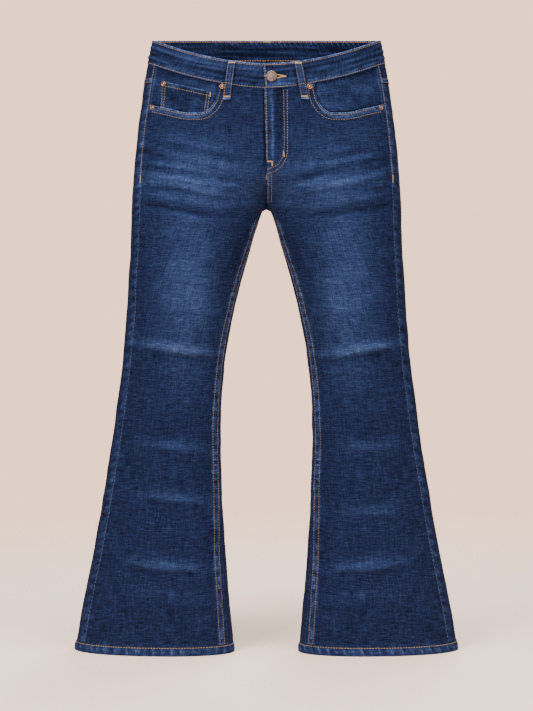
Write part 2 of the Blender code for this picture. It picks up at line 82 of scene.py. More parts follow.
# Heights of the main levels
HEM_HEIGHT = 0.0155
HEM_ROW = 0.0140
CROTCH_HEIGHT = 0.7665
FLY_END = 0.835
WAIST_SIDE = 1.0608
BAND_HEIGHT = 0.0415
FRONT_DROP = 0.047
FRONT_DROP_POWER = 1.8
FRONT_WIDER = 0.0021
FRONT_WIDER_POWER = 8
BACK_RISE = 0.009
SIDE_LINE = -0.01404
RING_POWER = 2.2
SIDE_SEAM_IN = 0.0155
YOKE_SIDE = 0.984
YOKE_CENTRE = 0.9596

SECTIONS = {
    "height": (0.000, 0.066, 0.171, 0.276, 0.381, 0.434, 0.486, 0.539, 0.591, 0.644,
               0.696, 0.7665, 0.8275, 0.8975, 0.9675, 1.0253, 1.0608, 1.080),
    "outer": (0.3345, 0.3229, 0.3019, 0.2835, 0.2669, 0.2599, 0.2529, 0.2476, 0.2433, 0.2406,
              0.2371, 0.2347, 0.2310, 0.2249, 0.2153, 0.2056, 0.1988, 0.1950),
    "front": (0.0740, 0.0710, 0.0640, 0.0570, 0.0525, 0.0530, 0.0560, 0.0620, 0.0690, 0.0750,
              0.0800, 0.0840, 0.0860, 0.0860, 0.0810, 0.0770, 0.0745, 0.0740),
    "back": (0.0750, 0.0725, 0.0665, 0.0605, 0.0560, 0.0565, 0.0590, 0.0650, 0.0740, 0.0830,
             0.0930, 0.1080, 0.1140, 0.1080, 0.0950, 0.0850, 0.0800, 0.0790),
}
GAPS = {
    "height": (0.000, 0.066, 0.171, 0.276, 0.381, 0.434, 0.486, 0.539, 0.591, 0.644,
               0.696, 0.730, 0.7575, 0.7640, 0.7665),
    "gap": (0.0560, 0.0621, 0.0709, 0.0770, 0.0796, 0.0779, 0.0735, 0.0665, 0.0560, 0.0429,
            0.0280, 0.0184, 0.0096, 0.0062, 0.0000),
}
JOINING = {
    "above": (0.000, 0.010, 0.025, 0.050, 0.080, 0.120, 0.170, 0.320),
    "apart": (1.000, 0.970, 0.880, 0.600, 0.320, 0.120, 0.000, 0.000),
}
TURN_OUT = {"height": (0.0, 0.30, 0.60, 1.10), "trail": (0.012, 0.006, 0.0, 0.0)}
INSEAM_IN = {"height": (0.0, 0.15, 0.30, 0.60, 0.7665), "inset": (0.011, 0.008, 0.003, 0.003, 0.0)}
# The inseam's two stitch rows, as widths from the seam seen from the front
INSEAM_ROWS = {
    "height": (0.0, 0.30, 0.45, 0.60, 0.72, 0.7665),
    "near": (0.0040, 0.0028, 0.0024, 0.0016, 0.0012, 0.0008),
    "far": (0.0116, 0.0104, 0.0096, 0.0080, 0.0060, 0.0050),
}
MOUTH = {
    "across": (0.0817, 0.0830, 0.0879, 0.0986, 0.1110, 0.1358, 0.1653, 0.1990, 0.2100),
    "height": (0.9800, 0.9687, 0.9503, 0.9365, 0.9298, 0.9303, 0.9373, 0.9460, 0.9490),
}
MOUTH_START = 0.0817
MOUTH_ROWS = (0.0036, 0.0116)

# The solids' large folds, by face: side (0 is both), height, place across, half length, half height,
# rise and climb towards the outer edge
FOLDS = {
    "front": (
        (0, 0.531, 0.15, 0.8, 0.011, 0.003, 0), (0, 0.512, 0.1, 0.75, 0.01, -0.0028, 0),
        (0, 0.352, 0, 0.8, 0.014, 0.0022, 0.006), (-1, 0.268, 0.1, 0.7, 0.014, 0.002, 0.008),
        (1, 0.246, 0.1, 0.7, 0.014, 0.002, -0.006), (0, 0.153, -0.05, 0.75, 0.015, 0.0018, 0.004),
        (0, 0.757, 0.2, 0.75, 0.01, -0.0024, 0.01), (0, 0.8, 0.1, 0.6, 0.012, 0.002, 0.03),
        (0, 0.838, 0.2, 0.6, 0.012, 0.0018, 0.034),
    ),
    "back": (
        (0, 0.54, 0, 0.75, 0.013, 0.0034, 0.006), (0, 0.512, 0, 0.8, 0.012, -0.0032, 0.004),
        (0, 0.482, 0.05, 0.7, 0.013, 0.0028, -0.006), (0, 0.735, -0.1, 0.7, 0.014, -0.003, 0.012),
        (0, 0.702, 0, 0.7, 0.015, 0.0022, 0.014), (0, 0.33, 0.05, 0.75, 0.015, 0.0022, 0.006),
        (0, 0.17, 0, 0.75, 0.016, 0.002, -0.005),
    ),
}

# How much of the large folds the cloth keeps, and how far panels reach up behind the waistband
FOLD_SHARE = 0.62
TUCK = 0.0028

# Lifts of one layer over another
FLY_RAISE = 0.0016
LAP_RAISE = 0.0028
BAND_PROUD = 0.0008
COIN_DEPTH = 0.0017
FACING_DEPTH = 0.0032
PATCH_LIFT = 0.0005
RIVET_STAND = 0.0008

# Top and foot of the front belt loops: place across and height
FRONT_LOOPS = {"left": ((0.0534, 1.0168), (0.0658, 0.9520)), "right": ((-0.0590, 1.0179), (-0.0681, 0.9515))}
BACK_LOOPS = {"left": ((0.118, 1.0674), (0.122, 1.0020)), "right": ((-0.118, 1.0674), (-0.122, 1.0020))}
CENTRE_LOOP = ((0.0, 1.0690), (0.0, 1.0035))

# Places across and heights of the metal
BUTTON_PLACE = (0.0084, 0.9905)
RIVET_PLACES = {
    "rivet_fly_right": (-0.0758, 0.9742),
    "rivet_fly_left": (0.0734, 0.9742),
    "rivet_side_right": (-0.1965, 0.9412),
    "rivet_side_left": (0.1965, 0.9412),
    "rivet_coin": (-0.1775, 0.9815),
}

# Fine creases in millimetres, by face: side, start across and height, end across and height, sag,
# half width and rise
CREASES = {
    "front": (
        (0, 49, 750, 216, 774, 4, 4.5, -1.6), (0, 60, 740, 205, 761, 4, 7, 1),
        (0, 55, 772, 205, 793, 4, 6, 1.1), (1, 48, 786, 200, 809, 3, 5, -1),
        (-1, 46, 784, 204, 804, 5, 5, -1), (0, 52, 800, 205, 826, 3, 6, 1.1),
        (0, 56, 815, 205, 844, 2, 5, -0.9), (1, 60, 832, 205, 860, 2, 6, 1),
        (-1, 70, 833, 200, 856, 4, 6, 0.9), (0, 70, 848, 205, 879, 2, 5, -0.7),
        (0, 85, 866, 203, 894, 0, 6, 0.7), (1, 95, 888, 200, 908, 0, 5, 0.5),
        (0, 80, 716, 190, 730, 3, 8, 0.7), (1, 110, 690, 215, 708, 2, 7, -0.6),
        (-1, 70, 684, 150, 676, 2, 8, 0.6), (-1, 110, 648, 200, 640, 0, 8, 0.5),
        (1, 80, 642, 180, 656, 0, 8, 0.5), (0, 90, 590, 200, 596, 2, 7, 0.6),
        (0, 90, 564, 215, 570, 2, 6, -0.6), (-1, 73, 515, 222, 536.5, 2, 5.5, 1.8),
        (1, 80, 511, 228, 537, 3, 5.5, 1.8), (-1, 75, 504, 222, 525, 2, 4.5, -1.8),
        (1, 82, 499.5, 228, 525, 3, 4.5, -1.8), (0, 95, 484, 215, 490, 1, 6, 0.7),
        (0, 100, 456, 210, 460, 1, 6, -0.5), (-1, 100, 433, 190, 436, 1, 6, 0.6),
        (1, 115, 422, 220, 426, 1, 6, 0.5), (-1, 100, 354, 215, 358, 1, 6, 1.3),
        (1, 120, 355, 225, 358, 1, 6, 1.1), (-1, 100, 342, 215, 345, 1, 5.5, -1.1),
        (1, 120, 343, 225, 345, 1, 5.5, -0.9), (-1, 98, 262, 215, 274, 1, 6, 1.4),
        (-1, 98, 251, 215, 262, 1, 5, -1.4), (1, 130, 248, 230, 245, 1, 6, 1.1),
        (1, 130, 236, 230, 234, 1, 5.5, -1), (-1, 90, 146, 255, 162, 2, 6, 1.7),
        (-1, 90, 135, 255, 150, 2, 5, -1.7), (1, 95, 145, 250, 165, 2, 6, 1.7),
        (1, 95, 133, 250, 153, 2, 5, -1.7), (-1, 130, 107, 240, 111, 0, 7, 0.7),
        (1, 120, 98, 230, 105, 0, 7, 0.5), (0, 110, 310, 230, 306, 0, 8, 0.5),
        (0, 110, 205, 250, 208, 0, 8, 0.6),
    ),
    "back": (
        (0, 20, 750, 185, 784, 10, 6, -2.2), (0, 30, 730, 190, 762, 10, 7, 1.4),
        (0, 30, 710, 180, 734, 8, 6, -1.4), (1, 60, 680, 190, 700, 4, 7, 0.9),
        (-1, 50, 674, 180, 690, 4, 7, 0.9), (0, 80, 588, 210, 582, 2, 6, 1),
        (1, 85, 564, 220, 572, 2, 5.5, -1.4), (-1, 85, 570, 220, 562, 2, 5.5, -1.4),
        (0, 80, 546, 225, 552, 2, 5.5, 1.6), (1, 85, 528, 225, 522, 2, 5, -1.6),
        (-1, 85, 522, 225, 530, 2, 5, -1.6), (0, 85, 502, 225, 498, 2, 5.5, 1.4),
        (0, 90, 474, 220, 480, 2, 6, -1.2), (0, 95, 448, 220, 442, 2, 6, 0.9),
        (1, 100, 360, 220, 370, 1, 6.5, 1), (-1, 100, 368, 220, 358, 1, 6.5, 1),
        (0, 100, 348, 220, 350, 1, 5.5, -1), (0, 100, 260, 235, 256, 1, 6.5, 1),
        (0, 100, 248, 235, 245, 1, 5.5, -1), (1, 100, 150, 250, 160, 1, 6.5, 1.2),
        (-1, 100, 160, 250, 148, 1, 6.5, 1.2), (0, 110, 95, 250, 98, 1, 7, 0.7),
    ),
}

# Paler places, by face: side, across and height of the middle, half width, half height, amount; all are worn
# places but one, painted light by the crotch
FADES_AND_PAINTED_LIGHT = {
    "front": (
        (0, 0.132, 0.655, 0.052, 0.125, 0.34), (0, 0.15, 0.575, 0.055, 0.06, 0.1),
        # The row at 0.02 across and 0.79 high is painted light, lifting the shade by the crotch.
        (0, 0.11, 0.83, 0.08, 0.065, 0.2), (0, 0.02, 0.79, 0.045, 0.05, 0.17),
        (-1, 0.15, 0.526, 0.066, 0.01, 0.36), (1, 0.158, 0.526, 0.066, 0.01, 0.36),
        (0, 0.15, 0.47, 0.04, 0.04, 0.12), (-1, 0.15, 0.357, 0.055, 0.011, 0.15),
        (1, 0.175, 0.357, 0.05, 0.011, 0.13), (-1, 0.155, 0.271, 0.06, 0.012, 0.16),
        (1, 0.18, 0.247, 0.05, 0.012, 0.12), (-1, 0.165, 0.155, 0.065, 0.012, 0.18),
        (1, 0.17, 0.156, 0.068, 0.012, 0.17), (0, 0.17, 0.105, 0.055, 0.012, 0.12),
    ),
    "back": (
        (0, 0.105, 0.85, 0.06, 0.08, 0.34), (0, 0.13, 0.66, 0.05, 0.09, 0.3),
        (0, 0.15, 0.525, 0.06, 0.045, 0.22), (0, 0.16, 0.35, 0.05, 0.06, 0.1),
    ),
}


def ease(start: float, end: float, value: Number) -> Number:
    """A smooth step.

    Args:
        start: value that gives 0.
        end: value that gives 1.
        value: number or array.

    Returns:
        0 before start, 1 after end, smooth between.
    """
    t = np.clip((np.asarray(value, float) - start) / (end - start), 0.0, 1.0)
    return t * t * (3 - 2 * t)


def mix(a: Number, b: Number, share: Number) -> Number:
    """The value a share of the way from a to b."""
    return a + (b - a) * share


def bell(value: Array, width: Number = 1.0, middle: Number = 0.0) -> Array:
    """A bell that is 1 at its middle."""
    off = (value - middle) / width
    return np.exp(-off * off)


def matched(*values: Number) -> list[Array]:
    """The values as arrays of one shape."""
    return np.broadcast_arrays(*(np.asarray(value, float) for value in values))


def ring_reach(c: Array, s: Array) -> Array:
    """How far a rounded ring of size 1 reaches in the direction of a cosine and a sine."""
    return (np.abs(c) ** RING_POWER + np.abs(s) ** RING_POWER) ** (-1 / RING_POWER)


def rows_on(table: Rows, side: int, angle: Array) -> Iterator[tuple[Array, Sequence[float]]]:
    """Go through the rows of a table that lie on one side.

    Args:
        table: rows by face, each starting with its side, or 0 for both.
        side: 1 or -1.
        angle: ring angles.

    Returns:
        For each row, which angles are on its face, and the rest of the row.
    """
    front = np.sin(angle) >= 0
    for here, rows in ((front, table["front"]), (~front, table["back"])):
        yield from ((here, row) for where, *row in rows if where in (0, side))


class Face(Enum):
    """The two faces of the jeans and their sign round a ring."""

    FRONT = 1
    BACK = -1


class Side(Enum):
    """The wearer's two sides and their sign along X."""

    LEFT = 1
    RIGHT = -1

    @property
    def word(self) -> str:
        """The side's word in node names."""
        return self.name.lower()


@dataclass(frozen=True)
class Curve:
    """A smooth curve through a table's rows that never overshoots them."""

    at: Array
    value: Array
    slope: Array

    @classmethod
    def through(cls, table: dict[str, Sequence[float]], column: str) -> "Curve":
        """Make the curve of a table's column.

        Args:
            table: columns by name, the first one rising.
            column: the column to follow.

        Returns:
            The curve.
        """
        at = np.array(table[next(iter(table))], float)
        value = np.array(table[column], float)
        slopes = np.diff(value) / np.diff(at)
        before, after = slopes[:-1], slopes[1:]
        total = np.where(before + after == 0, 1, before + after)
        joint = np.where(before * after > 0, 2 * before * after / total, 0)
        return cls(at, value, np.concatenate(([slopes[0]], joint, [slopes[-1]])))

    def __call__(self, where: Number) -> Array:
        """Read the curve.

        Args:
            where: number or array, held inside the table's reach.

        Returns:
            The values there.
        """
        where = np.clip(np.asarray(where, float), self.at[0], self.at[-1])
        i = np.clip(np.searchsorted(self.at, where, side="left") - 1, 0, len(self.at) - 2)
        step = self.at[i + 1] - self.at[i]
        t = (where - self.at[i]) / step
        return (
            self.value[i] * (1 + 2 * t) * (1 - t) ** 2
            + self.slope[i] * step * t * (1 - t) ** 2
            + self.value[i + 1] * t * t * (3 - 2 * t)
            + self.slope[i + 1] * step * t * t * (t - 1)
        )


@dataclass(frozen=True)
class SoftNoise:
    """Smooth seeded noise on a plane, about -1 to 1."""

    seed: int
    cells: int = 64

    def __call__(self, x: Array, y: Array) -> Array:
        """Read the noise.

        Args:
            x: first coordinate, one cell a unit.
            y: second coordinate.

        Returns:
            Values of the broadcast shape.
        """
        lattice = np.random.RandomState(self.seed).uniform(-1, 1, (self.cells, self.cells))
        x, y = matched(x, y)
        i, j = np.floor(x).astype(int), np.floor(y).astype(int)
        u, v = x - i, y - j
        u, v = u * u * (3 - 2 * u), v * v * (3 - 2 * v)
        i, j = i % self.cells, j % self.cells
        i2, j2 = (i + 1) % self.cells, (j + 1) % self.cells
        low = mix(lattice[i, j], lattice[i2, j], u)
        high = mix(lattice[i, j2], lattice[i2, j2], u)
        return mix(low, high, v) * 1.4


def unit(vectors: Array) -> Array:
    """The vectors at length 1."""
    return vectors / np.maximum(np.linalg.norm(vectors, axis=-1, keepdims=True), 1e-12)


@dataclass
class BodyForm:
    """The outer surface of the jeans: rings at each height, with the solids' folds and fine creases."""

    outer: Curve = Curve.through(SECTIONS, "outer")
    front: Curve = Curve.through(SECTIONS, "front")
    back: Curve = Curve.through(SECTIONS, "back")
    gap: Curve = Curve.through(GAPS, "gap")
    apart: Curve = Curve.through(JOINING, "apart")
    trail: Curve = Curve.through(TURN_OUT, "trail")
    inset: Curve = Curve.through(INSEAM_IN, "inset")
    row_near: Curve = Curve.through(INSEAM_ROWS, "near")
    row_far: Curve = Curve.through(INSEAM_ROWS, "far")
    mouth: Curve = Curve.through(MOUTH, "height")
    ripple: SoftNoise = SoftNoise(11)
    drift: SoftNoise = SoftNoise(23)
    crease_share: float = 0.72
    broad_wave: float = 0.00045
    fine_wave: float = 0.00018
    plain_wear: float = 0.23
    fade_slope: float = 0.13
    whisker_slope: float = 0.21
    whisker_share: float = 0.14
    hip_height: float = 0.825
    hip_spread: float = 0.055

    def ring_at(self, height: Array) -> tuple[Array, Array]:
        """Middle and half width of one leg's ring.

        Args:
            height: heights.

        Returns:
            Distance of the ring's middle from the middle plane, and its half width.
        """
        outer, gap = self.outer(height), self.gap(height)
        half_above = outer / (1 + self.apart(np.asarray(height) - CROTCH_HEIGHT))
        below = np.asarray(height) < CROTCH_HEIGHT
        half = np.where(below, (outer - gap) / 2, half_above)
        return outer - half, half

    def ring_point(self, side: int, angle: Array, height: Array) -> Array:
        """Points of the rings.

        Args:
            side: 1 or -1 along X.
            angle: 0 is the outer end, positive angles run over the front.
            height: heights.

        Returns:
            Points, last axis x, y, z.
        """
        angle, height = matched(angle, height)
        centre, half = self.ring_at(height)
        c, s = np.cos(angle), np.sin(angle)
        reach = ring_reach(c, s)
        depth = np.where(s >= 0, self.front(height), self.back(height))
        across = reach * c
        along = SIDE_LINE + self.trail(height) * across - depth * reach * s
        return np.stack((side * (centre + half * across), along, height), axis=-1)

    def angle_for(self, side_across: Number, height: Number, face: int = 1) -> Array:
        """Angle where a ring passes a distance from the middle plane.

        Args:
            side_across: distances from the middle plane.
            height: heights.
            face: 1 on the front, -1 on the back.

        Returns:
            The angles.
        """
        centre, half = self.ring_at(height)
        across = np.clip((side_across - centre) / half, -1.0, 1.0)
        off = (1 - np.abs(across) ** RING_POWER) ** (1 / RING_POWER)
        return face * np.arctan2(off, across)

    def outward(self, side: int, angle: Array, height: Array) -> Array:
        """The unit normals of the rings, folds left out.

        Args:
            side: 1 or -1 along X.
            angle: ring angles.
            height: heights.

        Returns:
            Unit vectors that point out of the cloth.
        """
        turn, climb = 0.01, 0.002
        over = self.ring_point(side, angle + turn, height) - self.ring_point(side, angle - turn, height)
        up = self.ring_point(side, angle, height + climb) - self.ring_point(side, angle, height - climb)
        return side * unit(np.cross(up, over))

    def fold_lift(self, side: int, angle: Array, height: Array) -> Array:
        """The solids' own folds.

        Args:
            side: 1 or -1.
            angle: ring angles.
            height: heights.

        Returns:
            How far the folds move the cloth out or in.
        """
        across = np.cos(angle)
        fade = np.minimum(1.0, np.abs(np.sin(angle)) * 1.6)
        lift = np.zeros(np.broadcast(angle, height).shape)
        for on, (level, centre, reach, spread, rise, climb) in rows_on(FOLDS, side, angle):
            along = np.clip(np.abs(across - centre) / reach, 0, 1)
            off = (height - level - climb * across) / spread
            lift = lift + on * rise * (1 - along * along) ** 2 * bell(off) * fade
        return lift

    def crease_lift(self, side: int, angle: Array, height: Array, place: Array) -> Array:
        """Fine creases listed one by one, with uneven depth and wandering lines.

        Args:
            side: 1 or -1.
            angle: ring angles.
            height: heights.
            place: distance from the middle plane.

        Returns:
            How far they move the cloth out or in.
        """
        fade = np.minimum(1.0, np.abs(np.sin(angle)) * 1.5)
        wander = 0.0022 * self.drift(place * 22 + 5 * side, height * 14 + 3)
        uneven = 1 + 0.35 * self.ripple(place * 45 + 9 * side, height * 50)
        lift = np.zeros(np.broadcast(angle, height).shape)
        for on, row in rows_on(CREASES, side, angle):
            x0, z0, x1, z1, sag, width, rise = np.array(row) * MM
            t = (place - x0) / (x1 - x0)
            inside = np.clip(t, 0, 1)
            line = z0 + (z1 - z0) * t - sag * 4 * inside * (1 - inside)
            taper = ease(-0.12, 0.22, t) * ease(1.10, 0.80, t)
            lift = lift + on * rise * taper * bell((height - line + wander) / width) * uneven * fade
        return self.crease_share * lift

    def undulation(self, side: int, angle: Array, height: Array, place: Array) -> Array:
        """Small soft waves of the whole cloth, mostly lying across the leg.

        Args:
            side: 1 or -1 along X.
            angle: ring angles.
            height: heights.
            place: distance from the middle plane.

        Returns:
            How far they move the cloth out or in.
        """
        broad = self.ripple(place * 14 + 17 * side + 3 * np.sin(angle), height * 38)
        fine = self.drift(place * 40 + 7 * side + 2 * np.cos(angle), height * 95 + 11)
        return self.broad_wave * broad + self.fine_wave * fine

    def relief(self, side: int, angle: Array, height: Array) -> Array:
        """Folds, creases and waves together, kept clear of the two ends and the crotch.

        Args:
            side: 1 or -1 along X.
            angle: ring angles.
            height: heights.

        Returns:
            How far they move the cloth out or in.
        """
        angle, height = matched(angle, height)
        place = np.abs(self.ring_point(side, angle, height)[..., 0])
        joined = ease(CROTCH_HEIGHT - 0.03, CROTCH_HEIGHT - 0.005, height)
        quiet = ease(0.0, 0.03, height) * (1 - joined * ease(0.010, 0.0005, place))
        fine = self.crease_lift(side, angle, height, place) + self.undulation(side, angle, height, place)
        return FOLD_SHARE * self.fold_lift(side, angle, height) + fine * quiet

    def skin(self, side: int, angle: Array, height: Array, lift: Number = 0.0) -> Array:
        """The cloth's surface.

        Args:
            side: 1 or -1.
            angle: ring angles.
            height: heights.
            lift: extra distance outwards.

        Returns:
            Points, last axis x, y, z.
        """
        angle, height = matched(angle, height)
        total = np.asarray(lift) + self.relief(side, angle, height)
        return self.ring_point(side, angle, height) + self.outward(side, angle, height) * total[..., None]

    def skin_at(self, across: Array, height: Array, face: Face, lift: Number = 0.0) -> Array:
        """The surface at a signed place across and a height, on the front or the back.

        Args:
            across: signed places across.
            height: heights.
            face: front or back.
            lift: extra distance outwards.

        Returns:
            Points, last axis x, y, z.
        """
        across, height = matched(across, height)
        lift = np.broadcast_to(np.asarray(lift, float), across.shape)
        points = np.empty(across.shape + (3,))
        for side in (1, -1):
            here = (across < 0) if side < 0 else (across >= 0)
            if here.any():
                angle = self.angle_for(np.abs(across[here]), height[here], face.value)
                points[here] = self.skin(side, angle, height[here], lift[here])
        return points

    @staticmethod
    def near_middle(angle: Array) -> Array:
        """1 at the middle of the front, 0 at the outer ends and behind."""
        c, s = np.cos(angle), np.maximum(np.sin(angle), 0.0)
        return 1 - np.abs(ring_reach(c, s) * c) ** FRONT_DROP_POWER

    @staticmethod
    def behind(angle: Array) -> Array:
        """How far back on the ring: 0 at the sides and in front, 1 at the middle of the back."""
        c, s = np.cos(angle), np.minimum(np.sin(angle), 0.0)
        return -s * ring_reach(c, s)

    def band_top(self, angle: Array) -> Array:
        """Height of the waistband's top edge: low at the centre front, rising evenly to the back."""
        return WAIST_SIDE - FRONT_DROP * self.near_middle(angle) + BACK_RISE * self.behind(angle)

    def band_height(self, angle: Array) -> Array:
        """Width of the waistband, greatest at the centre front."""
        return BAND_HEIGHT + FRONT_WIDER * self.near_middle(angle) ** FRONT_WIDER_POWER

    def band_foot(self, angle: Array) -> Array:
        """Height of the waist seam."""
        return self.band_top(angle) - self.band_height(angle)

    def side_angle(self, height: Array) -> Array:
        """Where the side seam runs, a little in front of the outer edge."""
        return self.angle_for(self.outer(height) - SIDE_SEAM_IN, height)

    def arc_shift(self, side: int, angle: Array, height: Array, distance: Number) -> Array:
        """The turn of angle that moves a point a distance round the ring.

        Args:
            side: 1 or -1 along X.
            angle: ring angles.
            height: heights.
            distance: metres round the ring.

        Returns:
            The turns, in radians.
        """
        step = 0.01
        ahead = self.ring_point(side, angle + step, height)
        behind = self.ring_point(side, angle - step, height)
        return distance * 2 * step / np.linalg.norm(ahead - behind, axis=-1)

    def inner_angle(self, side: int, height: Array, face: int, reach: Array) -> Array:
        """Where a leg panel's inner edge runs: along the inseam, and above it along the rise.

        Args:
            side: 1 or -1.
            height: heights.
            face: 1 for a front panel, -1 for a back panel.
            reach: how far past the middle plane the panel goes.

        Returns:
            The angles.
        """
        centre, half = self.ring_at(height)
        low = centre - half
        seam = self.angle_for(low + self.inset(height), height)
        shift = self.arc_shift(side, seam, height, HALF_SEAM)
        leg = seam - shift if face > 0 else seam - 2 * math.pi + shift
        return np.where(low >= HALF_SEAM, leg, self.angle_for(-np.asarray(reach), height, face))

    def inseam_x(self, height: Array) -> Array:
        """Distance of the inseam from the middle plane."""
        centre, half = self.ring_at(height)
        return centre - half + self.inset(height)

    def mouth_height(self, side: int, angle: Array, start: Array, rounds: int = 3) -> Array:
        """Height of the pocket mouth at a ring angle, found by a few rounds from a start height.

        Args:
            side: 1 or -1 along X.
            angle: ring angles.
            start: heights to start from.
            rounds: how many rounds.

        Returns:
            The heights.
        """
        height = np.asarray(start, float)
        for _ in range(rounds):
            height = self.mouth(np.abs(self.ring_point(side, angle, height)[..., 0]))
        return height

    def yoke_seam(self, across: Array) -> Array:
        """Height of the seam between yoke and back panel."""
        return mix(YOKE_CENTRE, YOKE_SIDE, np.minimum(across / 0.2, 1.0) ** 1.1)

    def yoke_height(self, side: int, angle: Array) -> Array:
        """Height of the yoke seam at a ring angle.

        Args:
            side: 1 or -1 along X.
            angle: ring angles.

        Returns:
            The heights.
        """
        height = np.full(np.shape(angle), YOKE_SIDE)
        for _ in range(3):
            height = self.yoke_seam(np.abs(self.ring_point(side, angle, height)[..., 0]))
        return height

    def wear_and_shade(self, side: int, angle: Array, height: Array) -> Array:
        """How pale the cloth is: fades from the table, one of them painted light, and the folds' and creases'
        ridges paler and their hollows darker, partly wear and partly painted highlight and shade.

        Args:
            side: 1 or -1.
            angle: ring angles.
            height: heights.

        Returns:
            0 for raw colour, about 1 for the palest.
        """
        angle, height = matched(angle, height)
        place = np.abs(self.ring_point(side, angle, height)[..., 0])
        amount = np.full(angle.shape, self.plain_wear)
        for on, (x, z, half_width, half_height, share) in rows_on(FADES_AND_PAINTED_LIGHT, side, angle):
            slope = self.fade_slope if half_height < 0.02 else 0.0
            off = height - z - slope * (place - x)
            amount = amount + on * share * bell(place, half_width, x) * bell(off, half_height)
        # Ridges of folds and creases: painted highlight on them and painted shade in their hollows, partly
        # also wear.
        relief_wear_and_shade = self.fold_lift(side, angle, height) * 0.35 + self.crease_lift(side, angle, height, place)
        streaks = self.ripple(place * 30 + 31 * side, height * 160) * 0.5
        streaks = streaks + self.drift(place * 12, height * 60) * 0.5
        sloped = height - self.whisker_slope * place
        whiskers = 0.9 * self.drift(place * 7 + 21 * side, sloped * 88)
        whiskers = whiskers + 0.6 * self.ripple(place * 15 + 5 * side, sloped * 210)
        hips = bell(height, self.hip_spread, self.hip_height) * ease(0.03, 0.08, place)
        amount = amount + self.whisker_share * whiskers * hips * (np.sin(angle) >= 0)
        # The ridges' painted highlight and the hollows' painted shade go into the colour here.
        amount = amount + mix(48, 105, ease(0.73, 0.78, height)) * relief_wear_and_shade
        amount = amount + 0.08 * streaks * ease(0.1, 0.6, amount)
        return np.clip(amount, 0.0, 1.2)


@dataclass
class ClothMesh:
    """A cloth wall as a grid: points of its two layers, its flat coordinates and its marks."""

    node: str
    outer: Array
    inner: Array
    flat: Array
    marks: dict[str, Array]
    closed: bool = False

    def cut(self) -> dict[str, object]:
        """The flat size and area of the cloth, measured along the grid of its outer layer.
        """
        points = self.outer
        if self.closed:
            points = np.concatenate((points, points[:, :1]), axis=1)
        width = float(arc_from(points, 1)[:, -1].max())
        length = float(arc_from(points, 0)[-1].max())
        over, up = points[:-1, 1:] - points[:-1, :-1], points[1:, :-1] - points[:-1, :-1]
        area = float(np.linalg.norm(np.cross(over, up), axis=-1).sum())
        flat = (math.ceil(width * 1000) / 1000, math.ceil(length * 1000) / 1000)
        return {"flat": flat, "area": round(min(area, flat[0] * flat[1]), 5)}

    def hang(self, rests_on: Sequence[str], material: Finish, slot: str = "denim") -> Piece:
        """Args:
            rests_on: not used.
            material: its finish.
            slot: not used.

        Returns:
            The new object.
        """
        obj = settle(self.build(), material, slot, self.node)
        cut = self.cut()
        log.info("%s: cut %.3f x %.3f m, %.4f square metres", self.node, *cut["flat"], cut["area"])
        return obj

    def build(self) -> Piece:
        """Make the closed wall with outward faces, a UV map in metres and float attributes.

        Returns:
            The new object.
        """
        rows, columns = self.outer.shape[:2]
        index = np.arange(rows * columns).reshape(rows, columns)
        if self.closed:
            index = np.concatenate((index, index[:, :1]), axis=1)
        a, b = index[:-1, :-1], index[:-1, 1:]
        c, d = index[1:, 1:], index[1:, :-1]
        front = np.stack((a, b, c, d), axis=-1).reshape(-1, 4)
        points = np.concatenate((self.outer.reshape(-1, 3), self.inner.reshape(-1, 3)))
        middle = front[len(front) // 2]
        normal = np.cross(points[middle[1]] - points[middle[0]], points[middle[3]] - points[middle[0]])
        layer = rows * columns
        turned = normal @ (points[middle[0]] - points[middle[0] + layer]) < 0
        front = front[:, ::-1] if turned else front
        back = front[:, ::-1] + layer
        edges = [index[0, :], index[-1, ::-1]]
        if not self.closed:
            edges += [index[::-1, 0], index[:, -1]]
        rims = []
        for line in edges:
            rim = np.stack((line[:-1], line[:-1] + layer, line[1:] + layer, line[1:]), axis=-1)
            rims.append(rim[:, ::-1] if turned else rim)
        faces = np.concatenate((front, back, *rims))
        mesh = bpy.data.meshes.new(f"{self.node}_cloth")
        mesh.from_pydata(points.tolist(), [], faces.tolist())
        twice = np.concatenate((self.flat.reshape(-1, 2), self.flat.reshape(-1, 2)))
        loops = np.empty(len(mesh.loops), np.int32)
        mesh.loops.foreach_get("vertex_index", loops)
        spread = twice[loops]
        if self.closed:
            width = float(self.flat[..., 0].max())
            per_face = spread.reshape(-1, 4, 2)
            wide = per_face[..., 0].max(axis=1) - per_face[..., 0].min(axis=1) > width / 2
            low = per_face[..., 0] < width / 2
            per_face[..., 0] += (wide[:, None] & low) * width
            spread = per_face.reshape(-1, 2)
        layer_uv = mesh.uv_layers.new(name="cloth")
        layer_uv.data.foreach_set("uv", spread.astype(np.float32).ravel())
        marks = {name: np.tile(values.ravel(), 2) for name, values in self.marks.items()}
        marks["inside"] = np.repeat((0.0, 1.0), layer)
        for name, values in marks.items():
            attribute = mesh.attributes.new(name, "FLOAT", "POINT")
            attribute.data.foreach_set("value", values.astype(np.float32))
        mesh.shade_smooth()
        mesh.set_sharp_from_angle(angle=math.radians(50))
        obj = bpy.data.objects.new(mesh.name, mesh)
        bpy.context.scene.collection.objects.link(obj)
        return obj


def rolled(distance: Array, radius: float) -> Array:
    """How far a rounded edge falls back at a distance from it."""
    t = np.clip(1 - distance / radius, 0, 1)
    return radius * (1 - np.sqrt(1 - t * t))


def arc_from(points: Array, axis: int) -> Array:
    """Length along the grid from its first line.

    Args:
        points: a grid of points.
        axis: 0 up the columns, 1 along the rows.

    Returns:
        Lengths, 0 on the first line.
    """
    steps = np.linalg.norm(np.diff(points, axis=axis), axis=-1)
    zero = np.zeros_like(np.take(steps, [0], axis=axis))
    return np.concatenate((zero, np.cumsum(steps, axis=axis)), axis=axis)


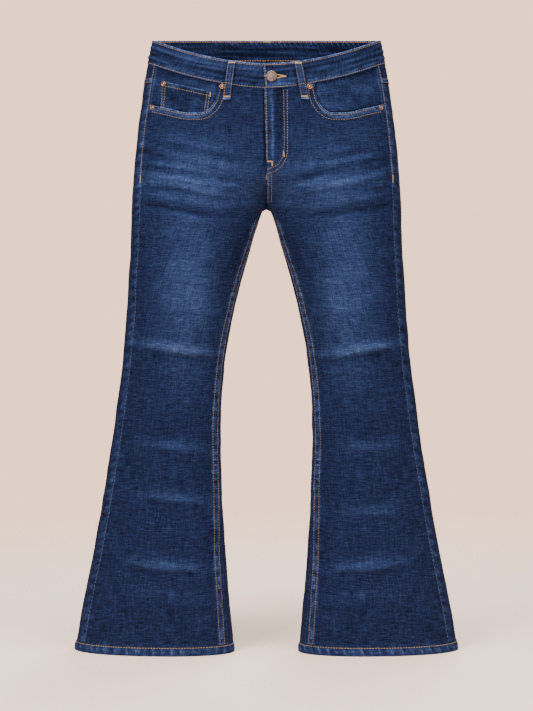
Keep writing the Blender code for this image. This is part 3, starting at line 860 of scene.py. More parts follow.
def edge_spaced(count: int, width: float, fine: Sequence[float] = (0.0005, 0.0012, 0.0022, 0.0036)) -> Array:
    """Shares from 0 to 1, with extra ones close to both ends.

    Args:
        count: even steps between.
        width: real length of the whole, in metres.
        fine: distances of the extra ones from an end.

    Returns:
        Rising shares.
    """
    near = np.array(fine) / width
    core = np.linspace(near[-1] * 1.6, 1 - near[-1] * 1.6, count - 1)
    return np.concatenate(([0.0], near, core, 1 - near[::-1], [1.0]))


Term = Union["Value", float]


class Value:
    """A number socket of a material that takes Python's operators."""

    def __init__(self, shade: "Shade", socket: Socket) -> None:
        """Keep the socket and the material it belongs to."""
        self.shade, self.socket = shade, socket

    def _math(self, operation: str, *terms: Term) -> "Value":
        """Add one Math node."""
        node = self.shade.node("ShaderNodeMath", {"operation": operation}, dict(enumerate(terms)))
        return Value(self.shade, node.outputs[0])

    def __add__(self, other: Term) -> "Value":
        """self + other."""
        return self._math("ADD", self, other)

    def __radd__(self, other: float) -> "Value":
        """other + self."""
        return self._math("ADD", other, self)

    def __sub__(self, other: Term) -> "Value":
        """self - other."""
        return self._math("SUBTRACT", self, other)

    def __rsub__(self, other: float) -> "Value":
        """other - self."""
        return self._math("SUBTRACT", other, self)

    def __mul__(self, other: Term) -> "Value":
        """self * other."""
        return self._math("MULTIPLY", self, other)

    def __rmul__(self, other: float) -> "Value":
        """other * self."""
        return self._math("MULTIPLY", other, self)

    def sine(self) -> "Value":
        """The sine of self."""
        return self._math("SINE", self)

    def clamped(self, low: float = 0.0, high: float = 1.0) -> "Value":
        """self held between two numbers."""
        return self._math("MINIMUM", self._math("MAXIMUM", self, low), high)

    def rise(self, start: float, end: float) -> "Value":
        """A smooth step from 0 at start to 1 at end.

        Args:
            start: value that gives 0.
            end: value that gives 1.

        Returns:
            The step.
        """
        settings = {"interpolation_type": "SMOOTHSTEP"}
        node = self.shade.node("ShaderNodeMapRange", settings, {0: self, 1: start, 2: end, 3: 0.0, 4: 1.0})
        return Value(self.shade, node.outputs[0])


Feed = Union[Value, Socket, float, Sequence[float]]


class Shade:
    """A material's node tree, built through one node method."""

    def __init__(self, name: str) -> None:
        """Start an empty material with its output node.

        Args:
            name: the material's name.
        """
        self.material = bpy.data.materials.new(name)
        self.material.use_nodes = True
        self.tree = self.material.node_tree
        self.tree.nodes.clear()
        self.output = self.tree.nodes.new("ShaderNodeOutputMaterial")

    def node(self, kind: str, settings: Optional[dict] = None,
             inputs: Optional[dict] = None) -> bpy.types.Node:
        """Add a node.

        Args:
            kind: the node's type.
            settings: properties, set first.
            inputs: values or links by socket name or number.

        Returns:
            The node.
        """
        node = self.tree.nodes.new(kind)
        for key, value in (settings or {}).items():
            setattr(node, key, value)
        for key, value in (inputs or {}).items():
            self.feed(node.inputs[key], value)
        return node

    def feed(self, socket: Socket, value: Feed) -> None:
        """Link or set one socket.

        Args:
            socket: an input.
            value: what to link, a number or a colour.
        """
        if isinstance(value, Value):
            self.tree.links.new(value.socket, socket)
        elif isinstance(value, Socket):
            self.tree.links.new(value, socket)
        else:
            socket.default_value = value

    def uv(self) -> Socket:
        """The cloth's own UV map."""
        return self.node("ShaderNodeUVMap", {"uv_map": "cloth"}).outputs[0]

    def place(self) -> Socket:
        """Object coordinates."""
        return self.node("ShaderNodeTexCoord").outputs["Object"]

    def mark(self, name: str) -> Value:
        """A float attribute of the piece."""
        return Value(self, self.node("ShaderNodeAttribute", {"attribute_name": name}).outputs["Fac"])

    def stretched(self, vector: Socket, by: Sequence[float]) -> Socket:
        """The vector times three factors."""
        return self.node("ShaderNodeVectorMath", {"operation": "MULTIPLY"},
                         {0: vector, 1: tuple(by)}).outputs[0]

    def noise(
        self, vector: Socket, by: Sequence[float], detail: float = 2.0, rough: float = 0.5
    ) -> Value:
        """Noise of the vector stretched by three factors.

        Args:
            vector: coordinates.
            by: cells a metre along each axis.
            detail: octaves.
            rough: weight of the finer octaves.

        Returns:
            Noise from 0 to 1.
        """
        inputs = {"Vector": self.stretched(vector, by), "Scale": 1.0, "Detail": detail, "Roughness": rough}
        return Value(self, self.node("ShaderNodeTexNoise", {}, inputs).outputs[0])

    def blend(self, share: Feed, a: Feed, b: Feed) -> Socket:
        """Mix two colours by a share."""
        return self.node("ShaderNodeMix", {"data_type": "RGBA"}, {0: share, 6: a, 7: b}).outputs[2]

    def finish(self, inputs: dict[str, Feed]) -> Finish:
        """Add the surface shader with these inputs and return the material.

        Args:
            inputs: values or links by socket name.

        Returns:
            The material.
        """
        shader = self.node("ShaderNodeBsdfPrincipled", {}, inputs)
        self.tree.links.new(shader.outputs[0], self.output.inputs[0])
        return self.material


def rgba(colour: Colour) -> tuple[float, float, float, float]:
    """The colour with full alpha."""
    return (*colour, 1.0)


@dataclass(frozen=True)
class Denim:
    """Indigo twill: five tones from raw to worn, weft and warp streaks, grain and a diagonal weave."""

    name: str = "denim"
    tones: tuple[Colour, ...] = (
        (0.0016, 0.0025, 0.0092),
        (0.0060, 0.0102, 0.0360),
        (0.0140, 0.0243, 0.0710),
        (0.0262, 0.0450, 0.1170),
        (0.0500, 0.0800, 0.1880),
        (0.1080, 0.1500, 0.2750),
    )
    full_wear: float = 1.25
    reverse: Colour = (0.0180, 0.0260, 0.0580)
    inside_shows: float = 1.0
    # How much darker the inside face is painted: painted shade.
    inside_painted_shade: float = 0.0
    offset: float = 0.0
    twill_pitch: float = 0.0011
    weave_depth: float = 0.00025

    def build(self) -> Finish:
        """Make the material.

        Returns:
            The material, which reads the UV map "cloth" and the marks for wear with painted highlight and
            shade, for edge and for inside.
        """
        shade = Shade(self.name)
        uv = shade.uv()
        wear_and_shade, edge, inside = shade.mark("wear_and_shade"), shade.mark("edge"), shade.mark("inside")
        weft = shade.noise(uv, (30, 310, 1), 3.0, 0.6) - 0.5
        weft_fine = shade.noise(uv, (62, 600, 1), 2.0, 0.7) - 0.5
        warp = shade.noise(uv, (400, 34, 1), 3.0, 0.6) - 0.5
        grain = shade.noise(uv, (560, 560, 1), 3.0, 0.7) - 0.5
        cloud = shade.noise(uv, (26, 22, 1), 3.0, 0.55) - 0.5
        patch = shade.noise(uv, (170, 130, 1), 2.0, 0.6)
        flecks = (shade.noise(uv, (150, 640, 1), 2.0, 0.7) - 0.52).clamped(0.0, 0.5)
        streaks = weft * 0.66 + weft_fine * 1.25 + warp * 0.80 + grain * 1.45 + flecks * 1.3
        rubbed = edge * (patch - 0.18).clamped() * 2.2
        # Inside faces are darkened here: painted shade.
        worn_and_shaded = wear_and_shade + self.offset - inside * self.inside_painted_shade + cloud * 0.16 + rubbed
        steps = (len(self.tones) - 1) / self.full_wear
        tone = (worn_and_shaded - 0.02 + streaks * (0.54 + worn_and_shaded * 0.52)).clamped(0.0, self.full_wear) * steps
        face = rgba(self.tones[0])
        for step, colour in enumerate(self.tones[1:]):
            face = shade.blend((tone - step).clamped(), face, rgba(colour))
        back = shade.blend(warp + 0.5, rgba(self.reverse), rgba(tuple(c * 0.55 for c in self.reverse)))
        colour = shade.blend(inside * self.inside_shows, face, back)
        parts = shade.node("ShaderNodeSeparateXYZ", {}, {0: uv})
        across, up = Value(shade, parts.outputs[0]), Value(shade, parts.outputs[1])
        turn = 2 * math.pi / self.twill_pitch
        twill = ((across * 0.62 + up * 0.78) * turn).sine() * 0.5 + 0.5
        relief = twill * 0.5 + weft * 1.1 + weft_fine * 0.9 + grain * 1.2 + warp * 0.8
        bump = shade.node("ShaderNodeBump", {},
                          {"Strength": 0.6, "Distance": self.weave_depth, "Height": relief})
        return shade.finish(
            {
                "Base Color": colour,
                "Roughness": (0.92 - worn_and_shaded * 0.06).clamped(0.6, 1.0),
                "Specular IOR Level": 0.06,
                "Normal": bump.outputs[0],
            }
        )


@dataclass(frozen=True)
class Thread:
    """Twisted sewing thread."""

    name: str = "thread_tan"
    colour: Colour = (0.225, 0.130, 0.026)
    spread: float = 0.45

    def build(self) -> Finish:
        """Make the material, whose tone drifts from stitch to stitch.

        Returns:
            The material.
        """
        shade = Shade(self.name)
        place = shade.place()
        drift = shade.noise(place, (160, 160, 160), 2.0, 0.6)
        dark = tuple(c * (1 - self.spread) for c in self.colour)
        light = tuple(min(1.0, c * (1 + self.spread)) for c in self.colour)
        colour = shade.blend(drift, rgba(dark), rgba(light))
        twist = shade.noise(place, (2600, 2600, 2600), 1.0, 0.5)
        bump = shade.node("ShaderNodeBump", {}, {"Strength": 0.5, "Distance": 0.0001, "Height": twist})
        return shade.finish({"Base Color": colour, "Roughness": 0.55, "Sheen Weight": 0.2,
                             "Normal": bump.outputs[0]})


@dataclass(frozen=True)
class WornMetal:
    """Tumbled metal, darker in patches and duller where it is dark."""

    name: str
    bright: Colour
    dark: Colour
    roughness: float = 0.34
    centre: Colour = (0.50, 0.41, 0.31)

    def build(self) -> Finish:
        """Make the material.

        Returns:
            The material.
        """
        shade = Shade(self.name)
        place = shade.place()
        tarnish = shade.noise(place, (420, 420, 420), 4.0, 0.65).rise(0.38, 0.66)
        scratch = shade.noise(place, (1800, 1800, 300), 2.0, 0.6)
        groove = shade.mark("groove")
        colour = shade.blend(tarnish * 0.8 + groove, rgba(self.bright), rgba(self.dark))
        colour = shade.blend(shade.mark("boss").clamped(), colour, rgba(self.centre))
        bump = shade.node("ShaderNodeBump", {}, {"Strength": 0.25, "Distance": 0.0001, "Height": scratch})
        return shade.finish(
            {
                "Base Color": colour,
                "Metallic": 0.9,
                "Roughness": tarnish * 0.22 + self.roughness,
                "Normal": bump.outputs[0],
            }
        )


@dataclass(frozen=True)
class ZipTape:
    """Herringbone tape behind the fly."""

    name: str = "zip_tape"
    colour: Colour = (0.010, 0.014, 0.030)

    def build(self) -> Finish:
        """Make the material.

        Returns:
            The material.
        """
        shade = Shade(self.name)
        place = shade.place()
        weave = shade.noise(place, (1400, 1400, 500), 1.0, 0.5)
        colour = shade.blend(weave, rgba(tuple(c * 0.6 for c in self.colour)),
                             rgba(tuple(c * 1.6 for c in self.colour)))
        bump = shade.node("ShaderNodeBump", {}, {"Strength": 0.5, "Distance": 0.0002, "Height": weave})
        return shade.finish({"Base Color": colour, "Roughness": 0.85, "Normal": bump.outputs[0]})


def made_once(finish: Union[Denim, Thread, WornMetal, ZipTape]) -> Finish:
    """A dataclass field that holds the finish's material."""
    return field(default_factory=finish.build)


@dataclass
class Wardrobe:
    """The finishes, made once."""

    denim: Finish = made_once(Denim())
    facing: Finish = made_once(Denim(name="denim_facing", offset=-0.02, inside_shows=0.4))
    # The band's inner face is darkened: painted shade.
    band: Finish = made_once(Denim(name="denim_band", offset=0.0, inside_shows=0.0, inside_painted_shade=0.10))
    tan: Finish = made_once(Thread())
    bright: Finish = made_once(Thread(name="thread_bright", colour=(0.360, 0.215, 0.048)))
    rust: Finish = made_once(Thread(name="thread_rust", colour=(0.200, 0.112, 0.028)))
    blue: Finish = made_once(Thread(name="thread_blue", colour=(0.052, 0.080, 0.165)))
    # Orange thread for the inner rows, brighter than the outer thread against the shade inside the band:
    # painted light.
    orange_lit_inside: Finish = made_once(Thread(name="thread_orange_lit_inside", colour=(0.640, 0.270, 0.045)))
    button: Finish = made_once(WornMetal("button_metal", (0.235, 0.168, 0.142), (0.100, 0.066, 0.055), 0.50))
    copper: Finish = made_once(WornMetal("rivet_copper", (0.40, 0.20, 0.095), (0.070, 0.036, 0.022), 0.40))
    tape: Finish = made_once(ZipTape())


def settle(obj: Piece, material: Finish, slot: str, node: str) -> Piece:
    """Give a finished piece its material, hide the CAD node that it stands for, and attach it to the root.

    Args:
        obj: the piece.
        material: its finish.
        slot: not used.
        node: the CAD node that it stands for.

    Returns:
        The piece.
    """
    obj.data.materials.clear()
    obj.data.materials.append(material)
    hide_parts(node)
    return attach(obj, "root")


# Rows of a leg panel: those of the solid, up to the crotch and over the rise
LEG_ROWS = (0.0158, 0.075, 0.130, 0.153, 0.176, 0.222, 0.246, 0.268, 0.292, 0.333, 0.352, 0.372,
            0.425, 0.482, 0.500, 0.513, 0.522, 0.532, 0.545, 0.580, 0.630, 0.672, 0.702, 0.730, 0.750,
            0.7585, 0.7640)
RISE_ROWS = 12
CROTCH_LAG = 0.050
LAG_FROM = 0.56
RISE_CLOSE = 1.9
SIDE_CLOSE = 1.3
PULL_FROM = 0.55


@dataclass(frozen=True)
class Lay:
    """Where the points of a leg panel lie: on the ring, in height, and from the panel's edges."""

    base: Array
    height: Array
    from_side: Array
    from_inner: Array
    from_top: Array
    off_seam: Array


@dataclass
class LegPanel:
    """One front or back leg panel, from the hem to the waist seam, pocket mouth or yoke."""

    form: BodyForm
    side: Side
    face: Face
    row_step: float = 0.0030
    columns: int = 78
    roll: float = 0.0005
    meet: float = 0.0002
    left_lap: float = 0.0035
    right_lap: float = 0.010
    ridge: float = 0.0006
    strip_middle: float = 0.007
    strip_width: float = 0.008
    dent_pitch: float = 0.0172
    dent_depth: float = 0.00045
    # How much the side dents' lift pales their ridges and darkens their hollows: wear with painted highlight
    # and shade.
    dent_wear_and_shade: float = 520
    noise_shift: float = 40
    front_width: float = 0.22
    back_width: float = 0.24
    mouth_from: float = 0.88

    @property
    def name(self) -> str:
        """The CAD node that this panel stands for."""
        return f"{self.face.name.lower()}_panel_{self.side.word}"

    def reach(self, height: Array) -> Array:
        """How far past the middle the panel goes: the left front laps over, the right one under.

        Args:
            height: heights.

        Returns:
            Distances past the middle plane.
        """
        if self.face is Face.BACK:
            return np.full(np.shape(height), self.meet)
        left = self.side is Side.LEFT
        lap, full_at = (self.left_lap, FLY_END + 0.135) if left else (self.right_lap, FLY_END + 0.012)
        return mix(self.meet, lap, ease(FLY_END, full_at, height))

    def edge(self, height: Array) -> Array:
        """Ring angle of the inner edge."""
        return self.form.inner_angle(self.side.value, height, self.face.value, self.reach(height))

    def corner_height(self) -> float:
        """Just under the crotch, where the two legs are a seam's width apart.

        Returns:
            The height.
        """
        height = CROTCH_HEIGHT
        while float(self.form.gap(height)) < HALF_SEAM:
            height -= 0.00001
        return height

    def tops(self) -> tuple[float, float]:
        """Height of the top edge at the side seam and at the middle.

        Returns:
            The two heights.
        """
        if self.face is Face.BACK:
            return YOKE_SIDE - HALF_SEAM, YOKE_CENTRE - HALF_SEAM
        return MOUTH["height"][-2], float(self.form.band_foot(np.array(math.pi / 2))) + TUCK

    def top(self, angle: Array) -> Array:
        """Height of the top edge at a ring angle.

        Args:
            angle: ring angles.

        Returns:
            The heights.
        """
        side = self.side.value
        if self.face is Face.BACK:
            return self.form.yoke_height(side, angle) - HALF_SEAM
        plain = self.form.band_foot(angle) + TUCK
        across = np.abs(self.form.ring_point(side, angle, plain)[..., 0])
        return np.where(across < MOUTH_START, plain, self.form.mouth_height(side, angle, plain))

    def solid_rows(self) -> tuple[Array, Array]:
        """The solid's rows.

        Returns:
            Heights at the side seam and at the inner edge.
        """
        corner = self.corner_height()
        side_top, inner_top = self.tops()
        inner = np.array((*LEG_ROWS, corner))
        at_side = inner - CROTCH_LAG * ease(LAG_FROM, corner, inner)
        share = np.arange(1, RISE_ROWS + 1) / RISE_ROWS
        low = corner - CROTCH_LAG
        at_side = np.concatenate((at_side, mix(low, side_top, share**SIDE_CLOSE)))
        return at_side, np.concatenate((inner, mix(corner, inner_top, share**RISE_CLOSE)))

    def fine_rows(self, at_side: Array, inner: Array) -> Array:
        """Row numbers with parts of a row between the solid's own, no further apart than row_step.

        Args:
            at_side: row heights at the side seam.
            inner: row heights at the inner edge.

        Returns:
            Row numbers with their parts.
        """
        rows = [0.0]
        for i in range(len(inner) - 1):
            step = max(at_side[i + 1] - at_side[i], inner[i + 1] - inner[i])
            parts = max(1, math.ceil(step / self.row_step))
            rows += [i + (k + 1) / parts for k in range(parts)]
        first = [0.0, 0.0006 / (LEG_ROWS[1] - LEG_ROWS[0]), 0.0014 / (LEG_ROWS[1] - LEG_ROWS[0])]
        last = len(inner) - 1
        span = at_side[-1] - at_side[-2]
        ends = [last - 0.0016 / span, last - 0.0008 / span, last - 0.0003 / span, float(last)]
        return np.array(first + rows[1:-1] + ends)

    def shares(self, side_top: float, inner_top: float) -> Array:
        """Places across: close near the seams and round the pocket's curve.

        Args:
            side_top: height of the top edge at the side seam.
            inner_top: its height at the middle.

        Returns:
            Rising shares from 0 to 1.
        """
        if self.face is Face.BACK:
            return edge_spaced(self.columns, self.back_width)
        form = self.form
        first = float(form.side_angle(side_top))
        last = float(self.edge(np.array(inner_top)))
        marks = [(float(form.angle_for(x, float(form.mouth(x)))) - first) / (last - first)
                 for x in (0.1358, 0.1110, 0.0986, 0.0879, 0.0830, 0.0815)]
        counts = (20, 8, 6, 8, 8, 6)
        stops = [0.0, *marks]
        us = [np.linspace(a, b, n, endpoint=False) for a, b, n in zip(stops, stops[1:], counts)]
        us.append(np.linspace(marks[-1], 1.0, self.columns - sum(counts)))
        close = np.array((0.0005, 0.0012, 0.0022)) / self.front_width
        return np.unique(np.concatenate((*us, close, 1 - close)))

    def grid(self, us: Array, rows: Array, at_side: Array, inner: Array) -> tuple[Array, Array]:
        """Ring angles and heights of the grid.

        Args:
            us: places across, 0 at the side seam.
            rows: row numbers, whole ones being the solid's.
            at_side: the solid's row heights at the side seam.
            inner: the solid's row heights at the inner edge.

        Returns:
            Angles and heights, rows by columns.
        """
        form, side = self.form, self.side.value
        numbers = np.arange(len(inner))
        side_height = np.interp(rows, numbers, at_side)[:, None]
        inner_height = np.interp(rows, numbers, inner)[:, None]
        start = form.side_angle(side_height)
        start = start + self.face.value * form.arc_shift(side, start, side_height, HALF_SEAM)
        angle = mix(start, self.edge(inner_height), us[None, :])
        height = mix(side_height, inner_height, us[None, :])
        last_angle = mix(form.side_angle(at_side[-1]), self.edge(inner[-1]), us)
        pull = ease(PULL_FROM, 1.0, rows / numbers[-1])[:, None] ** 2
        level = mix(at_side[-1], inner[-1], us)
        return angle, height + pull * (self.top(last_angle) - level)[None, :]

    def build(self, finish: Finish) -> Piece:
        """Make the panel with its seam ridges, puckers, wear with painted highlight and shade, and abraded
        edges.

        Args:
            finish: the denim.

        Returns:
            The panel.
        """
        form, side = self.form, self.side.value
        at_side, inner = self.solid_rows()
        rows = self.fine_rows(at_side, inner)
        angle, height = self.grid(self.shares(*self.tops()), rows, at_side, inner)
        base = form.ring_point(side, angle, height)
        across, up = arc_from(base, 1), arc_from(base, 0)
        total = across[:, -1:]
        off_seam = np.abs(base[..., 0]) - form.inseam_x(height)
        at = Lay(base, height, across, total - across, up[-1:, :] - up, off_seam)
        lift = self.fly_raise(at) + self.seam_lift(at) + self.inseam_ridge(at)
        facing = np.clip(np.abs(form.outward(side, angle, height)[..., 1]) ** 2, 0.02, 1)
        facing = mix(1.0, facing, ease(CROTCH_HEIGHT - 0.03, CROTCH_HEIGHT - 0.01, height))
        nearest = np.minimum(np.minimum(at.from_side, at.from_inner / facing), np.minimum(at.from_top, up))
        fall = rolled(nearest, self.roll)
        outer = form.skin(side, angle, height, lift - fall)
        under = form.skin(side, angle, height, lift - CLOTH + fall)
        # Less pale where self.shade paints shade in the seam grooves and a shadow beside the fly.
        wear_and_shade = form.wear_and_shade(side, angle, height) - self.shade(at)
        strip = mix(0.12, 0.22, ease(0.80, 0.86, height)) * (self.face is Face.BACK)
        # Side dents: paler ridges and darker hollows, partly wear and partly painted highlight and shade.
        wear_and_shade = wear_and_shade + self.side_dents(at) * self.dent_wear_and_shade + strip * self.on_strip(at.from_side)
        flat = np.stack((across - total / 2, height), axis=-1)
        mesh = ClothMesh(self.name, outer, under, flat, {"wear_and_shade": wear_and_shade, "edge": self.abrasion(at)})
        top = "waistband" if self.face is Face.FRONT else f"yoke_{self.side.word}"
        return mesh.hang([top], finish)

    def below_rise(self, height: Array) -> Array:
        """1 on the leg and 0 over the rise."""
        return ease(CROTCH_HEIGHT, CROTCH_HEIGHT - 0.03, height)

    def on_strip(self, from_side: Array) -> Array:
        """1 on the middle of the raised strip beside the side seam."""
        return bell(from_side, self.strip_width, self.strip_middle)

    def fly_raise(self, at: Lay) -> Array:
        """How far the left front stands out over the right one along the fly.

        Args:
            at: where the points lie.

        Returns:
            Extra lift.
        """
        if self.side is Side.RIGHT or self.face is Face.BACK:
            return np.zeros(at.height.shape)
        over_end = ease(FLY_END - 0.045, FLY_END - 0.015, at.height)
        return FLY_RAISE * ease(0.040, 0.020, at.base[..., 0]) * over_end

    def inseam_ridge(self, at: Lay) -> Array:
        """The raised strip between the inseam's two rows, and beside the rise.

        Args:
            at: where the points lie.

        Returns:
            Extra lift.
        """
        leg, from_inner = self.below_rise(at.height), at.from_inner
        if self.face is Face.BACK:
            return 0.0004 * ease(0.0100, 0.0080, from_inner) * ease(0.0, 0.0012, from_inner) * (1 - leg)
        far, near = self.form.row_far(at.height), self.form.row_near(at.height)
        strip = ease(far + 0.0008, far - 0.0004, at.off_seam) * ease(near - 0.0014, near, at.off_seam)
        rise = ease(0.0105, 0.0085, from_inner) * ease(0.0, 0.0012, from_inner) * (self.side is Side.LEFT)
        lumps = 1 + 0.5 * self.form.drift(at.height * 160, at.off_seam * 90)
        return self.ridge * mix(rise, strip * lumps, leg)

    def side_dents(self, at: Lay) -> Array:
        """Dents beside the side seam, stronger on the back panel's strip.

        Args:
            at: where the points lie.

        Returns:
            Extra lift.
        """
        share = 1.0 if self.face is Face.BACK else 0.35
        from_side, height, shift = at.from_side, at.height, self.noise_shift * self.side.value
        turn = 2 * math.pi * (height + 0.35 * from_side) / self.dent_pitch
        turn = turn + 2.4 * self.form.drift(height * 24 + shift, 0 * height)
        beat = 0.55 * np.sin(turn) + 0.45 * self.form.ripple(height * 120 + shift, from_side * 60)
        return share * self.dent_depth * beat * self.on_strip(from_side) * ease(0.0, 0.02, height)

    def seam_lift(self, at: Lay) -> Array:
        """A groove at each seam, small puckers beside them, and the folded pocket mouth.

        Args:
            at: where the points lie.

        Returns:
            Extra lift.
        """
        noise, height, from_top = self.form.ripple, at.height, at.from_top
        seams = -0.0004 * bell(at.from_side, 0.0012)
        seams = seams - 0.0003 * bell(at.from_inner, 0.0012) * self.below_rise(height)
        puckers = noise(height * 150 + self.noise_shift * self.side.value, at.from_inner * 80 + 9)
        puckers = 0.00035 * puckers * bell(at.from_inner, 0.006, 0.007) * ease(0.0, 0.02, height)
        lift = seams + self.side_dents(at) + puckers
        if self.face is Face.BACK:
            return lift
        at_mouth = (np.abs(at.base[..., 0]) > MOUTH_START) & (height > self.mouth_from)
        fold = 0.0004 * ease(0.0126, 0.0109, from_top) - 0.0002 * bell((from_top - MOUTH_ROWS[0]) / 0.0009)
        ropes = 0.0004 * noise(at.from_side * 150, height * 9) * bell(from_top, 0.0050, 0.0072)
        return lift + at_mouth * (fold + ropes)

    def shade(self, at: Lay) -> Array:
        """Painted shade: darker cloth in the seams' grooves, a painted shadow on the right front beside the
        fly's folded edge, and a darker column on the left front inside the fly's curved stitching.

        Args:
            at: where the points lie.

        Returns:
            How much darker the cloth is painted.
        """
        # Painted shade in the grooves of the side seam and the inseam.
        seams = 0.10 * bell(at.from_side, 0.0009) + 0.12 * bell(at.from_inner, 0.0011)
        if self.face is Face.BACK:
            return seams
        across = at.base[..., 0]
        if self.side is Side.LEFT:
            column = ease(0.0125, 0.0155, across) * ease(0.0290, 0.0250, across)
            return seams + 0.10 * column * ease(FLY_END + 0.02, FLY_END + 0.05, at.height)
        # Painted shadow on the right front beside the left front's raised fly edge.
        return seams + 0.36 * ease(-0.0075, -0.0020, across) * ease(FLY_END, FLY_END + 0.02, at.height)

    def abrasion(self, at: Lay) -> Array:
        """Where the edges of seams are rubbed pale.

        Args:
            at: where the points lie.

        Returns:
            Amount from 0 to 1.
        """
        form, height, off_seam, from_inner = self.form, at.height, at.off_seam, at.from_inner
        dashes = 0.55 + 0.45 * form.drift(height * 170, at.from_side * 20 + 5)
        amount = 0.30 * bell(at.from_side, 0.0013, 0.0012) * dashes
        amount = amount + 0.22 * bell(height, 0.003, HEM_HEIGHT)
        if self.face is Face.BACK:
            return np.clip(amount + 0.25 * bell(from_inner, 0.002, 0.002), 0, 1)
        near, far, leg = form.row_near(height), form.row_far(height), self.below_rise(height)
        flecks = 0.7 + 0.6 * form.ripple(height * 210, off_seam * 120)
        amount = amount + 0.55 * bell((off_seam - (near + far) / 2) / 0.0040) * leg * flecks
        outside = bell((off_seam - far - 0.0017) / 0.0009)
        inside = bell((off_seam - near + 0.0009) / 0.0009)
        rubbed = 0.20 * bell(off_seam, 0.0012) + 0.42 * outside * flecks + 0.55 * inside * flecks
        amount = amount + rubbed * leg
        mouth = 1.15 * bell(at.from_top, 0.0022) + 0.50 * bell(at.from_top, 0.0028, 0.0072)
        at_mouth = ease(MOUTH_START - 0.002, MOUTH_START, np.abs(at.base[..., 0]))
        amount = amount + mouth * at_mouth * ease(self.mouth_from, self.mouth_from + 0.02, height)
        if self.side is Side.LEFT:
            over_fly = ease(FLY_END, FLY_END + 0.03, height)
            fly = 1.25 * bell(from_inner, 0.0016) + 0.60 * bell(from_inner, 0.0024, 0.0115)
            below_fly = 0.40 * bell(from_inner, 0.003, 0.005)
            amount = amount + fly * over_fly + below_fly * (1 - over_fly) * (1 - leg)
        return np.clip(amount, 0, 1)


@dataclass
class Yoke:
    """A back yoke between the back panel and the waistband."""

    form: BodyForm
    side: Side
    rows: int = 14

    def build(self, finish: Finish) -> Piece:
        """Make the yoke.

        Args:
            finish: the denim.

        Returns:
            The yoke.
        """
        form, side = self.form, self.side.value
        us = edge_spaced(70, 0.22)[None, :]
        vs = edge_spaced(self.rows, 0.05)[:, None]
        level = mix(YOKE_SIDE, YOKE_CENTRE, us)
        start = form.side_angle(level)
        start = start - form.arc_shift(side, start, level, HALF_SEAM)
        angle = mix(start, form.angle_for(HALF_SEAM, level, -1), us)
        foot = form.yoke_height(side, angle) + HALF_SEAM
        height = mix(foot, form.band_foot(angle) + TUCK, vs)
        edge = form.side_angle(height)
        edge = edge - form.arc_shift(side, edge, height, HALF_SEAM)
        angle = mix(edge, form.angle_for(-HALF_SEAM, height, -1), us)
        base = form.ring_point(side, angle, height)
        across, up = arc_from(base, 1), arc_from(base, 0)
        from_foot, from_top = up, up[-1:, :] - up
        nearest = np.minimum(np.minimum(across, across[:, -1:] - across), np.minimum(from_foot, from_top))
        fall = rolled(nearest, 0.0005)
        lift = 0.0006 * ease(0.0105, 0.0085, from_foot) - 0.0003 * bell(from_foot, 0.001)
        puckers = 0.0003 * form.ripple(across * 150, up * 60 + 7 * side)
        lift = lift + puckers * bell(from_foot, 0.006, 0.005)
        outer = form.skin(side, angle, height, lift - fall)
        under = form.skin(side, angle, height, lift - CLOTH + fall)
        wear_and_shade = form.wear_and_shade(side, angle, height)
        edge = np.clip(0.45 * bell(from_foot, 0.003, 0.005) + 0.5 * bell(across, 0.0016, 0.0025), 0, 1)
        flat = np.stack((across, height), axis=-1)
        mesh = ClothMesh(f"yoke_{self.side.word}", outer, under, flat, {"wear_and_shade": wear_and_shade, "edge": edge})
        return mesh.hang(["waistband"], finish)


